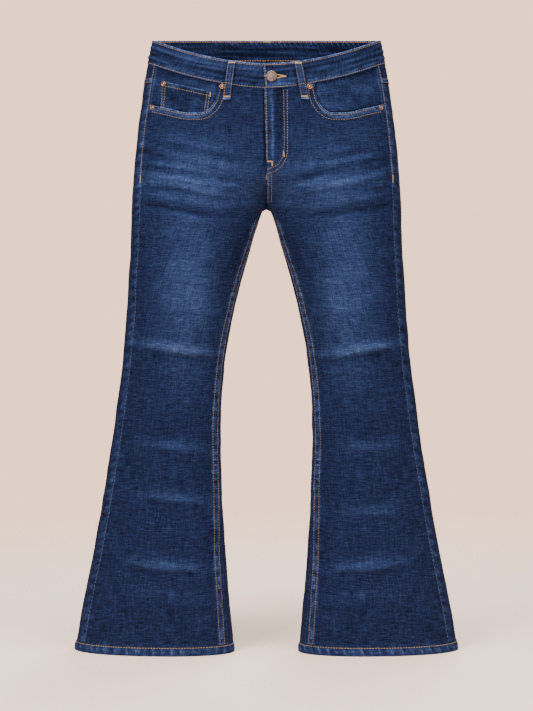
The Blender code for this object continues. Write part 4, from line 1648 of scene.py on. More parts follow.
@dataclass
class Waistband:
    """One strip round the waist, its left end lapped over its right end at the centre front."""

    form: BodyForm
    over_end: float = 0.006
    under_end: float = 0.036
    slant: float = 0.0045
    columns: int = 380
    rows: int = 18
    crease_ups: tuple[float, ...] = (0.0125, 0.0215, 0.0300)
    rope_pitch: float = 0.0092
    plain_wear: float = 0.26

    def span(self) -> tuple[float, float]:
        """Ring angles of the two ends."""
        start = float(self.form.angle_for(-self.over_end, 1.0))
        return start, -2 * math.pi + float(self.form.angle_for(self.under_end, 1.0))

    def crease_lines(self, across: Array, from_foot: Array) -> Array:
        """Three soft creases along the band, deepest over the hips and broken here and there.

        Args:
            across: lengths along the band.
            from_foot: distances from its foot.

        Returns:
            How far they move the cloth out or in.
        """
        total = np.zeros(np.broadcast(across, from_foot).shape)
        for number, up in enumerate(self.crease_ups):
            wander = 0.0016 * self.form.drift(across * 16 + 7 * number, 0 * across)
            broken = ease(-0.5, 0.3, self.form.ripple(across * 22 + 5 * number, 0 * across))
            total = total + 0.00075 * broken * bell((from_foot - up - wander) / 0.0020)
            total = total - 0.00060 * broken * bell((from_foot - up - wander + 0.0042) / 0.0018)
        return total

    def lift_at(self, angle: Array, over: Array) -> Array:
        """Lift of the outer face: proud of the panels, more where it laps over.

        Args:
            angle: ring angles.
            over: where the band is on the lapped half.

        Returns:
            The lift.
        """
        across = self.form.ring_point(1, angle, np.full(np.shape(angle), 1.0))[..., 0]
        lapped = np.where(over, ease(0.045, 0.018, across), 0.0)
        return BAND_PROUD + LAP_RAISE * lapped

    def build(self, finish: Finish) -> Piece:
        """Make the waistband with folded edges, puckers along its stitches and long soft creases.

        Args:
            finish: the denim.

        Returns:
            The waistband.
        """
        form = self.form
        start, end = self.span()
        us = edge_spaced(self.columns, 0.92)[None, :]
        vs = edge_spaced(self.rows, BAND_HEIGHT, CLOSE)[:, None]
        angle = mix(start, end, us)
        over = (us < 0.5) & (angle > 0)
        tall = form.band_height(angle)
        height = form.band_foot(angle) + tall * vs
        slant = self.slant * (1 - vs) * ease(0.012, 0.0, us)
        angle = angle - form.arc_shift(1, angle, height, slant)
        base = form.ring_point(1, angle, height)
        across = arc_from(base, 1)
        from_foot, from_top = tall * vs, tall * (1 - vs)
        ends = np.minimum(across, across[:, -1:] - across)
        nearest = np.minimum(ends, np.minimum(from_foot, from_top))
        fall = rolled(nearest, 0.0009)
        creases = self.crease_lines(across, from_foot) + 0.00035 * form.drift(across * 12, from_foot * 170)
        creases = creases * ease(0.0, 0.006, nearest)
        low = 0.00050 * form.ripple(across * 105, from_foot * 30) * bell(from_foot, 0.006, 0.004)
        high = 0.00025 * form.ripple(across * 120 + 9, from_top * 40) * bell(from_top, 0.004, 0.004)
        puckers = low + high
        groove = -0.00030 * (bell(from_foot, 0.0009, 0.0020) + bell(from_top, 0.0009, 0.0034))
        lift = self.lift_at(angle, over) + creases
        outer = form.skin(1, angle, height, lift + puckers + groove - fall)
        under = form.skin(1, angle, height, lift - BAND_WALL + fall)
        # Creases and puckers: paler ridges and darker hollows, partly wear and partly painted highlight and
        # shade.
        wear_and_shade = self.plain_wear + 0.06 * form.drift(across * 20, from_foot * 90) + 270 * (creases + puckers)
        turn = 2 * math.pi * (across + 0.5 * from_top) / self.rope_pitch
        beat = np.sin(turn + 2.4 * form.drift(across * 30, 0 * from_top)) * bell(from_top, 0.0035, 0.0060)
        ropes = beat * (0.6 + 0.6 * form.ripple(across * 60, from_top * 25)) * (np.sin(angle) < 0)
        wear_and_shade = wear_and_shade + 0.42 * np.clip(ropes, -0.4, 1)
        # Painted shadow on the waistband beside each front belt loop.
        for (top_x, top_z), (foot_x, foot_z) in FRONT_LOOPS.values():
            middle = mix(foot_x, top_x, (height - foot_z) / (top_z - foot_z))
            loop_shadow = bell(np.abs(base[..., 0] - middle), 0.0018, 0.0080)
            wear_and_shade = wear_and_shade - 0.16 * loop_shadow * (np.sin(angle) > 0)
        edge = 1.25 * bell(from_top, 0.0018) + 0.45 * bell(from_foot, 0.0014) + bell(ends, 0.0022)
        edge = edge + 0.30 * bell(from_foot, 0.003, 0.0065) + 0.50 * np.clip(ropes, 0, 1)
        flat = np.stack((from_foot, across), axis=-1)
        mesh = ClothMesh("waistband", outer, under, flat, {"wear_and_shade": wear_and_shade, "edge": np.clip(edge, 0, 1)})
        return mesh.hang(["front_panel_left", "front_panel_right", "yoke_left", "yoke_right"], finish)


@dataclass
class PocketFacing:
    """The cloth seen inside a scooped front pocket."""

    form: BodyForm
    side: Side
    inner_edge: float = 0.070
    below_mouth: float = 0.012

    def depth_at(self, angle: Array, height: Array) -> Array:
        """Depth under the outer surface: near it at the side seam, deeper behind the mouth.

        Args:
            angle: ring angles.
            height: heights.

        Returns:
            The depths.
        """
        side = self.side.value
        seam = self.form.ring_point(side, self.form.side_angle(height), height)
        away = np.linalg.norm(self.form.ring_point(side, angle, height) - seam, axis=-1)
        return mix(SEAM, FACING_DEPTH, ease(0.001, 0.012, away))

    def build(self, finish: Finish) -> Piece:
        """Make the facing.

        Args:
            finish: the facing denim.

        Returns:
            The facing.
        """
        form, side = self.form, self.side.value
        us = edge_spaced(60, 0.15)[None, :]
        vs = edge_spaced(34, 0.09)[:, None]
        mouth_end = MOUTH["height"][-2]
        level = mix(mouth_end, WAIST_SIDE - BAND_HEIGHT, vs)
        angle = mix(form.side_angle(level), form.angle_for(self.inner_edge, level), us)
        low = form.mouth_height(side, angle, np.full(angle.shape, mouth_end))
        low = low + mix(2 * SEAM, -self.below_mouth, ease(0.06, 0.22, us))
        low = np.where(us > 0.5, np.minimum(low, mouth_end + 2 * SEAM), low)
        near = np.abs(form.ring_point(side, angle, level + 0 * angle)[..., 0]) < MOUTH["across"][3]
        low = np.where(near, MOUTH["height"][4] - self.below_mouth, low)
        height = mix(low, form.band_foot(angle) + TUCK, vs)
        edge = form.side_angle(height)
        edge = edge + form.arc_shift(side, edge, height, HALF_SEAM)
        angle = mix(edge, form.angle_for(self.inner_edge, height), us)
        depth = self.depth_at(angle, height)
        base = form.ring_point(side, angle, height)
        across = arc_from(base, 1)
        wave = 0.0004 * form.drift(across * 25 + 9 * side, height * 45)
        outer = form.skin(side, angle, height, wave - depth)
        under = form.skin(side, angle, height, wave - depth - CLOTH)
        place = np.abs(base[..., 0])
        level = form.mouth(place)
        slope = (form.mouth(place + 0.0005) - level) / 0.0005
        behind_mouth = (height - level) / np.hypot(1.0, slope)
        wear_and_shade = 0.34 + 0.11 * form.drift(across * 26, height * 70)
        # Painted shadow on the facing just inside the pocket mouth.
        wear_and_shade = wear_and_shade - 0.28 * bell(behind_mouth, 0.0026, 0.001)
        edge = 0.30 * bell(across, 0.0016, 0.0025)
        flat = np.stack((across, height), axis=-1)
        mesh = ClothMesh(f"pocket_facing_{self.side.word}", outer, under, flat, {"wear_and_shade": wear_and_shade, "edge": edge})
        return mesh.hang(["waistband"], finish, "denim_facing")


@dataclass
class CoinPocket:
    """A small patch on the right facing, its foot tucked behind the pocket mouth."""

    form: BodyForm
    top_outer: Point = (0.1810, 0.9865)
    top_inner: Point = (0.0951, 0.9658)
    foot_outer: Point = (0.1845, 0.9345)
    foot_inner: Point = (0.1015, 0.9240)
    wall: float = 0.0010

    def place(self, u: Array, v: Array) -> tuple[Array, Array]:
        """Places on the patch.

        Args:
            u: from the outer edge to the inner one.
            v: from the foot to the top.

        Returns:
            Distances from the middle plane, and heights.
        """
        corners = zip(self.foot_outer, self.top_outer, self.foot_inner, self.top_inner)
        across, height = (mix(mix(a, b, v), mix(c, d, v), u) for a, b, c, d in corners)
        return across, height

    def build(self, finish: Finish) -> Piece:
        """Make the patch.

        Args:
            finish: the denim.

        Returns:
            The patch.
        """
        form = self.form
        us = edge_spaced(40, 0.09, CLOSE)[None, :]
        vs = edge_spaced(24, 0.05, CLOSE)[:, None]
        across, height = self.place(us, vs)
        base = form.skin_at(-across, height, Face.FRONT)
        wide, tall = arc_from(base, 1), arc_from(base, 0)
        from_top = tall[-1:, :] - tall
        ends = np.minimum(wide, wide[:, -1:] - wide)
        nearest = np.minimum(ends, from_top)
        fall = rolled(nearest, 0.0004)
        lift = 0.0003 * ease(0.0, 0.006, nearest) * form.ripple(wide * 90, tall * 50) - COIN_DEPTH
        outer = form.skin_at(-across, height, Face.FRONT, lift - fall)
        under = form.skin_at(-across, height, Face.FRONT, lift - self.wall + fall)
        wear_and_shade = 0.22 + 0.12 * form.drift(wide * 45, tall * 90)
        edge = np.clip(0.9 * bell(from_top, 0.0015) + 0.35 * bell(ends, 0.003, 0.003), 0, 1)
        flat = np.stack((wide, tall), axis=-1)
        mesh = ClothMesh("coin_pocket", outer, under, flat, {"wear_and_shade": wear_and_shade, "edge": edge})
        return mesh.hang(["pocket_facing_right"], finish)


@dataclass
class BackPocket:
    """A plain five-sided patch, slightly tilted with the yoke seam."""

    form: BodyForm
    side: Side
    centre: float = 0.116
    top: float = 0.942
    half_top: float = 0.074
    half_foot: float = 0.064
    straight: float = 0.128
    point: float = 0.022
    tilt: float = 0.075
    lean: float = 0.006

    def place(self, u: Array, v: Array) -> tuple[Array, Array]:
        """Places on the pocket.

        Args:
            u: from -1 at the inner edge to 1 at the outer one.
            v: from the top to the foot.

        Returns:
            Distances from the middle plane, and heights.
        """
        across = self.centre + u * mix(self.half_top, self.half_foot, v) + self.lean * v
        drop = v * (self.straight + self.point * (1 - np.abs(u)))
        return across, self.top + self.tilt * u * self.half_top - drop

    def build(self, finish: Finish) -> Piece:
        """Make the pocket.

        Args:
            finish: the denim.

        Returns:
            The pocket.
        """
        form, side = self.form, self.side.value
        us = (edge_spaced(56, 0.14, CLOSE) * 2 - 1)[None, :]
        vs = edge_spaced(52, 0.15, CLOSE)[:, None]
        across, height = self.place(us, vs)
        base = form.skin_at(side * across, height, Face.BACK)
        wide, tall = arc_from(base, 1), arc_from(base, 0)
        from_foot = tall[-1:, :] - tall
        ends = np.minimum(wide, wide[:, -1:] - wide)
        nearest = np.minimum(ends, np.minimum(tall, from_foot))
        fall = rolled(nearest, 0.0005)
        soft = 0.0006 * form.ripple(wide * 35, tall * 30 + 3 * side) * ease(0.006, 0.02, nearest)
        crown = 0.0012 * ease(0.0, 0.05, nearest)
        puckers = 0.0002 * form.drift(wide * 160, tall * 160) * ease(0.012, 0.004, nearest)
        hem_fold = 0.0004 * ease(0.0155, 0.0135, tall)
        lift = PATCH_LIFT + CLOTH + soft + crown + puckers + hem_fold
        outer = form.skin_at(side * across, height, Face.BACK, lift - fall)
        under = form.skin_at(side * across, height, Face.BACK, PATCH_LIFT + soft + crown + fall)
        wear_and_shade = 0.34 + 0.22 * bell(nearest, 0.03, 0.045) + 0.1 * form.drift(wide * 30, tall * 50)
        edge = np.clip(0.8 * bell(nearest, 0.0016) + 0.3 * bell(nearest, 0.003, 0.005), 0, 1)
        flat = np.stack((wide, tall), axis=-1)
        mesh = ClothMesh(f"back_pocket_{self.side.word}", outer, under, flat, {"wear_and_shade": wear_and_shade, "edge": edge})
        return mesh.hang([f"back_panel_{self.side.word}"], finish)


@dataclass
class Hem:
    """The turned-up end of a leg, a ring with a flat foot and roped cloth."""

    form: BodyForm
    side: Side
    proud: float = 0.0006
    columns: int = 420
    rope_pitch: float = 0.0168
    rows: tuple[float, ...] = (0.0, 0.0003, 0.0008, 0.0016, 0.003, 0.0045, 0.006, 0.0075, 0.009, 0.0105,
                               0.012, 0.013, 0.0138, 0.0146, 0.0152, HEM_HEIGHT)

    def place(self, angle: Array, height: Array, lift: Array) -> Array:
        """Points of the ring, moved out level with the floor.

        Args:
            angle: ring angles.
            height: heights.
            lift: extra distance outwards.

        Returns:
            Points, last axis x, y, z.
        """
        form, side = self.form, self.side.value
        out = form.outward(side, angle, height + 0.003)
        out = unit(out * np.array((1.0, 1.0, 0.0)))
        return form.ring_point(side, angle, height) + out * np.asarray(lift)[..., None]

    def build(self, finish: Finish) -> Piece:
        """Make the hem.

        Args:
            finish: the denim.

        Returns:
            The hem.
        """
        form, side = self.form, self.side.value
        angle = (np.arange(self.columns) / self.columns * 2 * math.pi)[None, :]
        angle, height = matched(angle, np.array(self.rows)[:, None])
        base = form.ring_point(side, angle, height)
        across = arc_from(base, 1)
        ends = np.minimum(height, HEM_HEIGHT - height)
        fall = rolled(ends, 0.0009)
        turn = 2 * math.pi * (across - 0.30 * height * side) / self.rope_pitch
        wander = form.drift(across * 22 + 9 * side, 0 * height)
        rope = 0.50 * np.sin(turn + 2.6 * wander)
        rope = rope + 0.60 * form.ripple(across * 130 - height * 60 * side, height * 22)
        hump = np.sin(np.clip(height / HEM_HEIGHT, 0, 1) * math.pi)
        groove = -0.0004 * bell(height, 0.0007, HEM_ROW)
        lift = self.proud + 0.0010 * rope * hump + 0.0005 * hump + groove - fall
        outer = self.place(angle, height, lift)
        under = self.place(angle, height, self.proud - HEM_WALL + fall)
        ridge = bell(np.sin(turn / 2 + 1.3 * wander) / 0.34)
        wear_and_shade = 0.30 + 0.16 * np.clip(rope, -0.5, 1.0) * hump
        edge = np.clip(0.22 * bell(height, 0.0012) + (0.16 + 0.50 * ridge) * hump, 0, 1)
        flat = np.stack((across, height), axis=-1)
        mesh = ClothMesh(f"hem_{self.side.word}", outer, under, flat, {"wear_and_shade": wear_and_shade, "edge": edge},
                         closed=True)
        word = self.side.word
        return mesh.hang([f"front_panel_{word}", f"back_panel_{word}"], finish)


@dataclass
class BeltLoop:
    """A folded strap from the waistband's top edge to just below the waist seam."""

    form: BodyForm
    node: str
    face: Face
    top: Point
    foot: Point
    width: float = 0.013
    thickness: float = 0.0014
    stand: float = 0.0024

    def place(self, u: Array, v: Array, inward: Array) -> Array:
        """Points of the strap.

        Args:
            u: from -0.5 to 0.5 across.
            v: from the foot to the top.
            inward: distance under the outer face.

        Returns:
            Points, last axis x, y, z.
        """
        form = self.form
        height = mix(self.foot[1], self.top[1], v)
        across = mix(self.foot[0], self.top[0], v)
        bulge = self.stand * ease(0.10, 0.34, v) * ease(1.0, 0.80, v)
        lift = PATCH_LIFT + self.thickness + BAND_PROUD * ease(0.30, 0.42, v) + bulge - inward
        side = -1 if self.foot[0] < 0 else 1
        height = height + 0 * u
        middle = form.angle_for(np.abs(across) + 0 * u, height, self.face.value)
        angle = middle + form.arc_shift(side, middle, height, self.width * u)
        return form.skin(side, angle, height, lift)

    def line(self, u: Array, v: Array) -> "Path":
        """A line for stitches on the strap.

        Args:
            u: places across it, from -0.5 to 0.5.
            v: places along it, from foot to top.

        Returns:
            The line.
        """
        u, v = matched(u, v)
        across, height = mix(self.foot[0], self.top[0], v), mix(self.foot[1], self.top[1], v)
        angle = self.form.angle_for(np.abs(across), height, self.face.value)
        side = -1 if self.foot[0] < 0 else 1
        return Path(self.place(u, v, np.zeros(v.shape)), self.form.outward(side, angle, height))

    def build(self, finish: Finish) -> Piece:
        """Make the strap.

        Args:
            finish: the denim.

        Returns:
            The strap.
        """
        us = (edge_spaced(12, self.width, (0.0002, 0.0005, 0.0009)) - 0.5)[None, :]
        length = math.dist(self.top, self.foot)
        vs = edge_spaced(36, length, (0.0002, 0.0005, 0.0009))[:, None]
        ends = np.minimum(vs, 1 - vs) * length + 0 * us
        long_edge = (0.5 - np.abs(us)) * self.width + 0 * vs
        fall = rolled(np.minimum(long_edge, ends), 0.0006)
        middle = -0.0003 * bell(us * self.width / 0.0022) + 0 * vs
        outer = self.place(us, vs, fall - middle)
        under = self.place(us, vs, self.thickness - fall)
        wear_and_shade = 0.38 - 0.12 * bell(np.abs(us), 0.09, 0.36) + 0.12 * bell(us, 0.16)
        wear_and_shade = wear_and_shade + 0.05 * np.sin(vs * 40)
        tip = ease(0.068, 0.050, vs)
        edge = np.clip(0.40 * bell(long_edge, 0.001) + 1.1 * bell(ends, 0.0018) + 0.60 * tip, 0, 1)
        flat = np.stack((us * self.width + 0 * vs, vs * length + 0 * us), axis=-1)
        mesh = ClothMesh(self.node, outer, under, flat, {"wear_and_shade": wear_and_shade, "edge": edge})
        return mesh.hang(["waistband"], finish)


@dataclass(frozen=True)
class Turning:
    """A turned metal piece: its profile as radius and height, from below, out and back to the middle."""

    node: str
    profile: tuple[Point, ...]
    lift: float
    place: Point
    groove: Point
    steps: int = 48

    def piece_name(self) -> str:
        """The name of the piece: a rivet's cap or the button's head."""
        return self.node.replace("rivet", "rivet_cap") if "rivet" in self.node else f"{self.node}_head"

    def build(self, form: BodyForm, finish: Finish, slot: str) -> Piece:
        """Shape a cylinder's rings to the profile and set the piece on the front.

        Args:
            form: the body that it sits on.
            finish: the metal.
            slot: not used.

        Returns:
            The piece, its finished mesh in place.
        """
        bpy.ops.object.select_all(action="DESELECT")
        bpy.ops.mesh.primitive_cylinder_add(vertices=self.steps, radius=1.0, depth=1.0,
                                            end_fill_type="TRIFAN")
        obj = bpy.context.object
        obj.name = self.piece_name()
        bpy.ops.object.mode_set(mode="EDIT")
        mesh = bmesh.from_edit_mesh(obj.data)
        rim = self.profile[1:-1]
        sides = [edge for edge in mesh.edges if abs(edge.verts[0].co.z - edge.verts[1].co.z) > 0.5]
        bmesh.ops.subdivide_edges(mesh, edges=sides, cuts=len(rim) - 2)
        for vert in mesh.verts:
            level = round((vert.co.z + 0.5) * (len(rim) - 1))
            radius, up = rim[level]
            flat = math.hypot(vert.co.x, vert.co.y)
            if flat < 0.01:
                vert.co = (0.0, 0.0, self.profile[0][1] if level == 0 else self.profile[-1][1])
            else:
                vert.co = (vert.co.x / flat * radius, vert.co.y / flat * radius, up)
        bmesh.update_edit_mesh(obj.data)
        bpy.ops.mesh.select_all(action="SELECT")
        bpy.ops.mesh.normals_make_consistent(inside=False)
        bpy.ops.object.mode_set(mode="OBJECT")
        reach = [math.hypot(vertex.co.x, vertex.co.y) for vertex in obj.data.vertices]
        low, high = self.groove
        marks = {"groove": [0.9 if low <= r <= high else 0.0 for r in reach],
                 "boss": [1.0 if r < low and high < 0.005 else 0.0 for r in reach]}
        for name, values in marks.items():
            obj.data.attributes.new(name, "FLOAT", "POINT").data.foreach_set("value", values)
        bpy.ops.object.shade_smooth_by_angle(angle=math.radians(35))
        across, height = self.place
        side = -1 if across < 0 else 1
        angle = form.angle_for(abs(across), height)
        obj.location = Vector(form.skin(side, angle, np.array(height), self.lift).tolist())
        obj.rotation_mode = "QUATERNION"
        obj.rotation_quaternion = Vector(form.outward(side, angle, np.array(height))).to_track_quat("Z", "Y")
        bpy.ops.object.transform_apply(location=True, rotation=True, scale=True)
        return settle(obj, finish, slot, self.node)


# Radii and heights of the metal's profiles, and the reach of their dark grooves
BUTTON_PROFILE = ((0.0, 0.0), (0.0070, 0.0), (0.0088, 0.0006), (0.0094, 0.0014), (0.0095, 0.0022),
                  (0.0092, 0.0030), (0.0087, 0.0034), (0.0081, 0.0035), (0.0077, 0.0032), (0.0074, 0.0028),
                  (0.0068, 0.0028), (0.0040, 0.0032), (0.0, 0.0034))
RIVET_PROFILE = ((0.0, 0.0), (0.0044, 0.0), (0.0045, 0.0005), (0.0043, 0.0009), (0.0038, 0.0011),
                 (0.0032, 0.0009), (0.0028, 0.0004), (0.0016, 0.0004), (0.0013, 0.0010), (0.0008, 0.0014),
                 (0.0, 0.0016))
BUTTON_GROOVE = (0.0073, 0.0078)
RIVET_GROOVE = (0.0015, 0.0030)


class Lie(Enum):
    """Which way a stitch lies on its line."""

    ALONG = 0
    ACROSS = 1


def read_at(place: Array, along: Array, rows: Array) -> Array:
    """Rows of three numbers read at places between those that have them."""
    return np.stack([np.interp(place, along, rows[:, axis]) for axis in range(3)], axis=1)


@dataclass
class Path:
    """A line on the cloth: its points and the directions that point out of the cloth there."""

    points: Array
    normals: Array

    def stepped(self, pitch: float) -> tuple[Array, Array, Array]:
        """Places at an even pitch along the line.

        Args:
            pitch: distance from one to the next.

        Returns:
            Points, normals and directions along the line.
        """
        steps = np.linalg.norm(np.diff(self.points, axis=0), axis=1)
        along = np.concatenate(([0.0], np.cumsum(steps)))
        count = max(1, round(along[-1] / pitch))
        at = (np.arange(count) + 0.5) / count * along[-1]
        near = along[-1] * 0.001
        points, ahead, behind = (read_at(place, along, self.points) for place in (at, at + near, at - near))
        return points, unit(read_at(at, along, self.normals)), unit(ahead - behind)


@dataclass
class Needle:
    """Lays stitches on finished cloth and joins each group into one piece."""

    cloth: Sequence[Piece]
    reach: float = 0.006
    sides: int = 6
    trees: list[BVHTree] = field(default_factory=list)

    def __post_init__(self) -> None:
        """Read the cloth once."""
        vertices: list[Vector] = []
        faces: list[list[int]] = []
        for obj in self.cloth:
            start = len(vertices)
            vertices += [vertex.co.copy() for vertex in obj.data.vertices]
            faces += [[start + index for index in face.vertices] for face in obj.data.polygons]
        self.trees.append(BVHTree.FromPolygons(vertices, faces))

    def template(self, length: float, width: float, height: float) -> tuple[Array, Array]:
        """One stitch about the origin: a rounded run of thread along X, its foot under the cloth.

        Args:
            length: along the line.
            width: across it.
            height: above the cloth.

        Returns:
            Vertices and faces.
        """
        turn = np.arange(self.sides) / self.sides * 2 * math.pi
        rings = ((-0.40, 0.72), (0.0, 1.0), (0.40, 0.72))
        points = [(-0.5 * length, 0.0, -0.15 * height)]
        for place, swell in rings:
            points += [(place * length, 0.5 * width * swell * math.cos(a),
                        height * (swell * math.sin(a) - 0.12 / swell + 0.1)) for a in turn]
        points.append((0.5 * length, 0.0, -0.15 * height))
        n = self.sides
        faces = []
        for k in range(n):
            k2 = (k + 1) % n
            faces += [(0, 1 + k2, 1 + k, 0), (1 + 2 * n + k, 1 + 2 * n + k2, 1 + 3 * n, 1 + 3 * n)]
            faces += [(1 + j * n + k, 1 + j * n + k2, 1 + (j + 1) * n + k2, 1 + (j + 1) * n + k)
                      for j in range(2)]
        return np.array(points), np.array(faces)

    def seat(self, point: Array, normal: Array) -> Array:
        """Find the outermost cloth under a point.

        Args:
            point: a place near the cloth.
            normal: the way out of the cloth.

        Returns:
            The place on the cloth, or the point itself where there is none.
        """
        start = Vector(point + normal * self.reach)
        hit = self.trees[0].ray_cast(start, -Vector(normal), 2.2 * self.reach)
        return np.array(hit[0]) if hit[0] is not None else point

    def sew(
        self,
        name: str,
        paths: Sequence[Path],
        finish: Finish,
        pitch: float = 0.0045,
        size: tuple[float, float, float] = (0.0033, 0.00092, 0.00042),
        lie: Lie = Lie.ALONG,
        jitter: float = 0.05,
    ) -> Piece:
        """Sew along the paths.

        Args:
            name: the group's name.
            paths: the lines.
            finish: the thread.
            pitch: from one stitch to the next.
            size: a stitch's length, width and height.
            lie: along the line or across it.
            jitter: how far stitches turn at random, in radians.

        Returns:
            One joined piece.
        """
        shape, corners = self.template(*size)
        rng = np.random.RandomState(len(name) * 7 + len(paths))
        vertices, faces = [], []
        for path in paths:
            for point, normal, along in zip(*path.stepped(pitch)):
                across = unit(np.cross(normal, along))
                x, y = (along, across) if lie is Lie.ALONG else (across, -along)
                turn = rng.uniform(-jitter, jitter)
                x, y = x * math.cos(turn) + y * math.sin(turn), y * math.cos(turn) - x * math.sin(turn)
                end = 0.35 * size[0]
                ends = [self.seat(point + x * k, normal) for k in (-end, end)]
                x = unit(ends[1] - ends[0])
                z = unit(np.cross(x, y))
                y = np.cross(z, x)
                middle = (ends[0] + ends[1]) / 2
                faces.append(corners + len(vertices) * len(shape))
                vertices.append(middle + shape @ np.stack((x, y, z)))
        mesh = bpy.data.meshes.new(name)
        quads = [tuple(dict.fromkeys(face)) for face in np.concatenate(faces).tolist()]
        mesh.from_pydata(np.concatenate(vertices).tolist(), [], quads)
        mesh.shade_smooth()
        obj = bpy.data.objects.new(name, mesh)
        bpy.context.scene.collection.objects.link(obj)
        obj.data.materials.append(finish)
        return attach(obj, "root")


@dataclass
class SeamLines:
    """The lines that the needle follows, laid out in each panel's own measures."""

    form: BodyForm
    samples: int = 270
    spacing: float = 0.0015

    def flat(
        self, corners: Sequence[Point], face: Face = Face.FRONT, lift: float = 0.0, straight: bool = False
    ) -> Path:
        """A line through places across and heights on the front or back.

        Args:
            corners: signed distances from the middle and heights.
            face: front or back.
            lift: extra distance out.
            straight: sewn straight from the front or back, as near the crotch.

        Returns:
            The line.
        """
        line = np.array(corners, float)
        along = np.concatenate(([0.0], np.cumsum(np.linalg.norm(np.diff(line, axis=0), axis=1))))
        at = np.linspace(0, along[-1], max(6, int(along[-1] / self.spacing)))
        across, height = np.interp(at, along, line[:, 0]), np.interp(at, along, line[:, 1])
        points = self.form.skin_at(across, height, face, lift)
        normals = np.empty(points.shape)
        for side in (1, -1):
            here = (across < 0) if side < 0 else (across >= 0)
            angle = self.form.angle_for(np.abs(across[here]), height[here], face.value)
            normals[here] = self.form.outward(side, angle, height[here])
        if straight:
            normals[:] = (0.0, -face.value, 0.0)
        return Path(points, normals)

    def ringed(self, side: int, angle: Array, height: Array, lift: float = 0.0, inner: bool = False) -> Path:
        """A line through ring angles and heights, on the outer or the inner face."""
        normals = self.form.outward(side, angle, height)
        return Path(self.form.skin(side, angle, height, lift), -normals if inner else normals)

    def beside_side_seam(self, side: int, start: float, end: float, distance: float) -> Path:
        """A line beside the side seam.

        Args:
            side: 1 or -1 along X.
            start: lowest height.
            end: highest height.
            distance: over the front where it is above zero, or over the back.

        Returns:
            The line.
        """
        height = np.linspace(start, end, self.samples)
        angle = self.form.side_angle(height)
        return self.ringed(side, angle + self.form.arc_shift(side, angle, height, distance), height)

    def beside_inseam(self, side: int, start: float, end: float, row: Curve) -> Path:
        """A line on the front beside the inseam.

        Args:
            side: 1 or -1 along X.
            start: lowest height.
            end: highest height.
            row: distance off the inseam at a height.

        Returns:
            The line.
        """
        height = np.linspace(start, end, self.samples)
        place = self.form.inseam_x(height) + row(height)
        return self.ringed(side, self.form.angle_for(place, height), height)

    def band(self, start: float, end: float, up: float, lift: float, inner: bool = False) -> Path:
        """A line round the waistband.

        Args:
            start: first ring angle.
            end: last ring angle.
            up: height above the foot or, below zero, under the top edge.
            lift: extra distance outwards.
            inner: on the inner face.

        Returns:
            The line.
        """
        angle = np.linspace(start, end, 400)
        level = self.form.band_foot(angle) if up > 0 else self.form.band_top(angle)
        return self.ringed(1, angle, level + up, lift, inner)

    def mouth(self, side: int, distance: float) -> Path:
        """A line beside a pocket mouth.

        Args:
            side: 1 or -1 along X.
            distance: how far into the panel.

        Returns:
            The line.
        """
        across = np.array(MOUTH["across"])
        t = np.linspace(0, len(across) - 2, 120)
        xs = np.interp(t, np.arange(len(across)), across)
        xs = xs[xs < 0.1975]
        zs = self.form.mouth(xs)
        tangent = unit(np.stack((np.gradient(xs), np.gradient(zs)), axis=1))
        down = np.stack((tangent[:, 1], -tangent[:, 0]), axis=1)
        line = np.stack((xs, zs), axis=1) + down * distance
        line = line[line[:, 1] < 0.9785 - 0.35 * (line[:, 0] - MOUTH_START)]
        xs, zs = (np.convolve(np.pad(line[:, k], 4, "edge"), np.ones(9) / 9, "valid") for k in (0, 1))
        return self.flat(list(zip(side * xs, zs)))


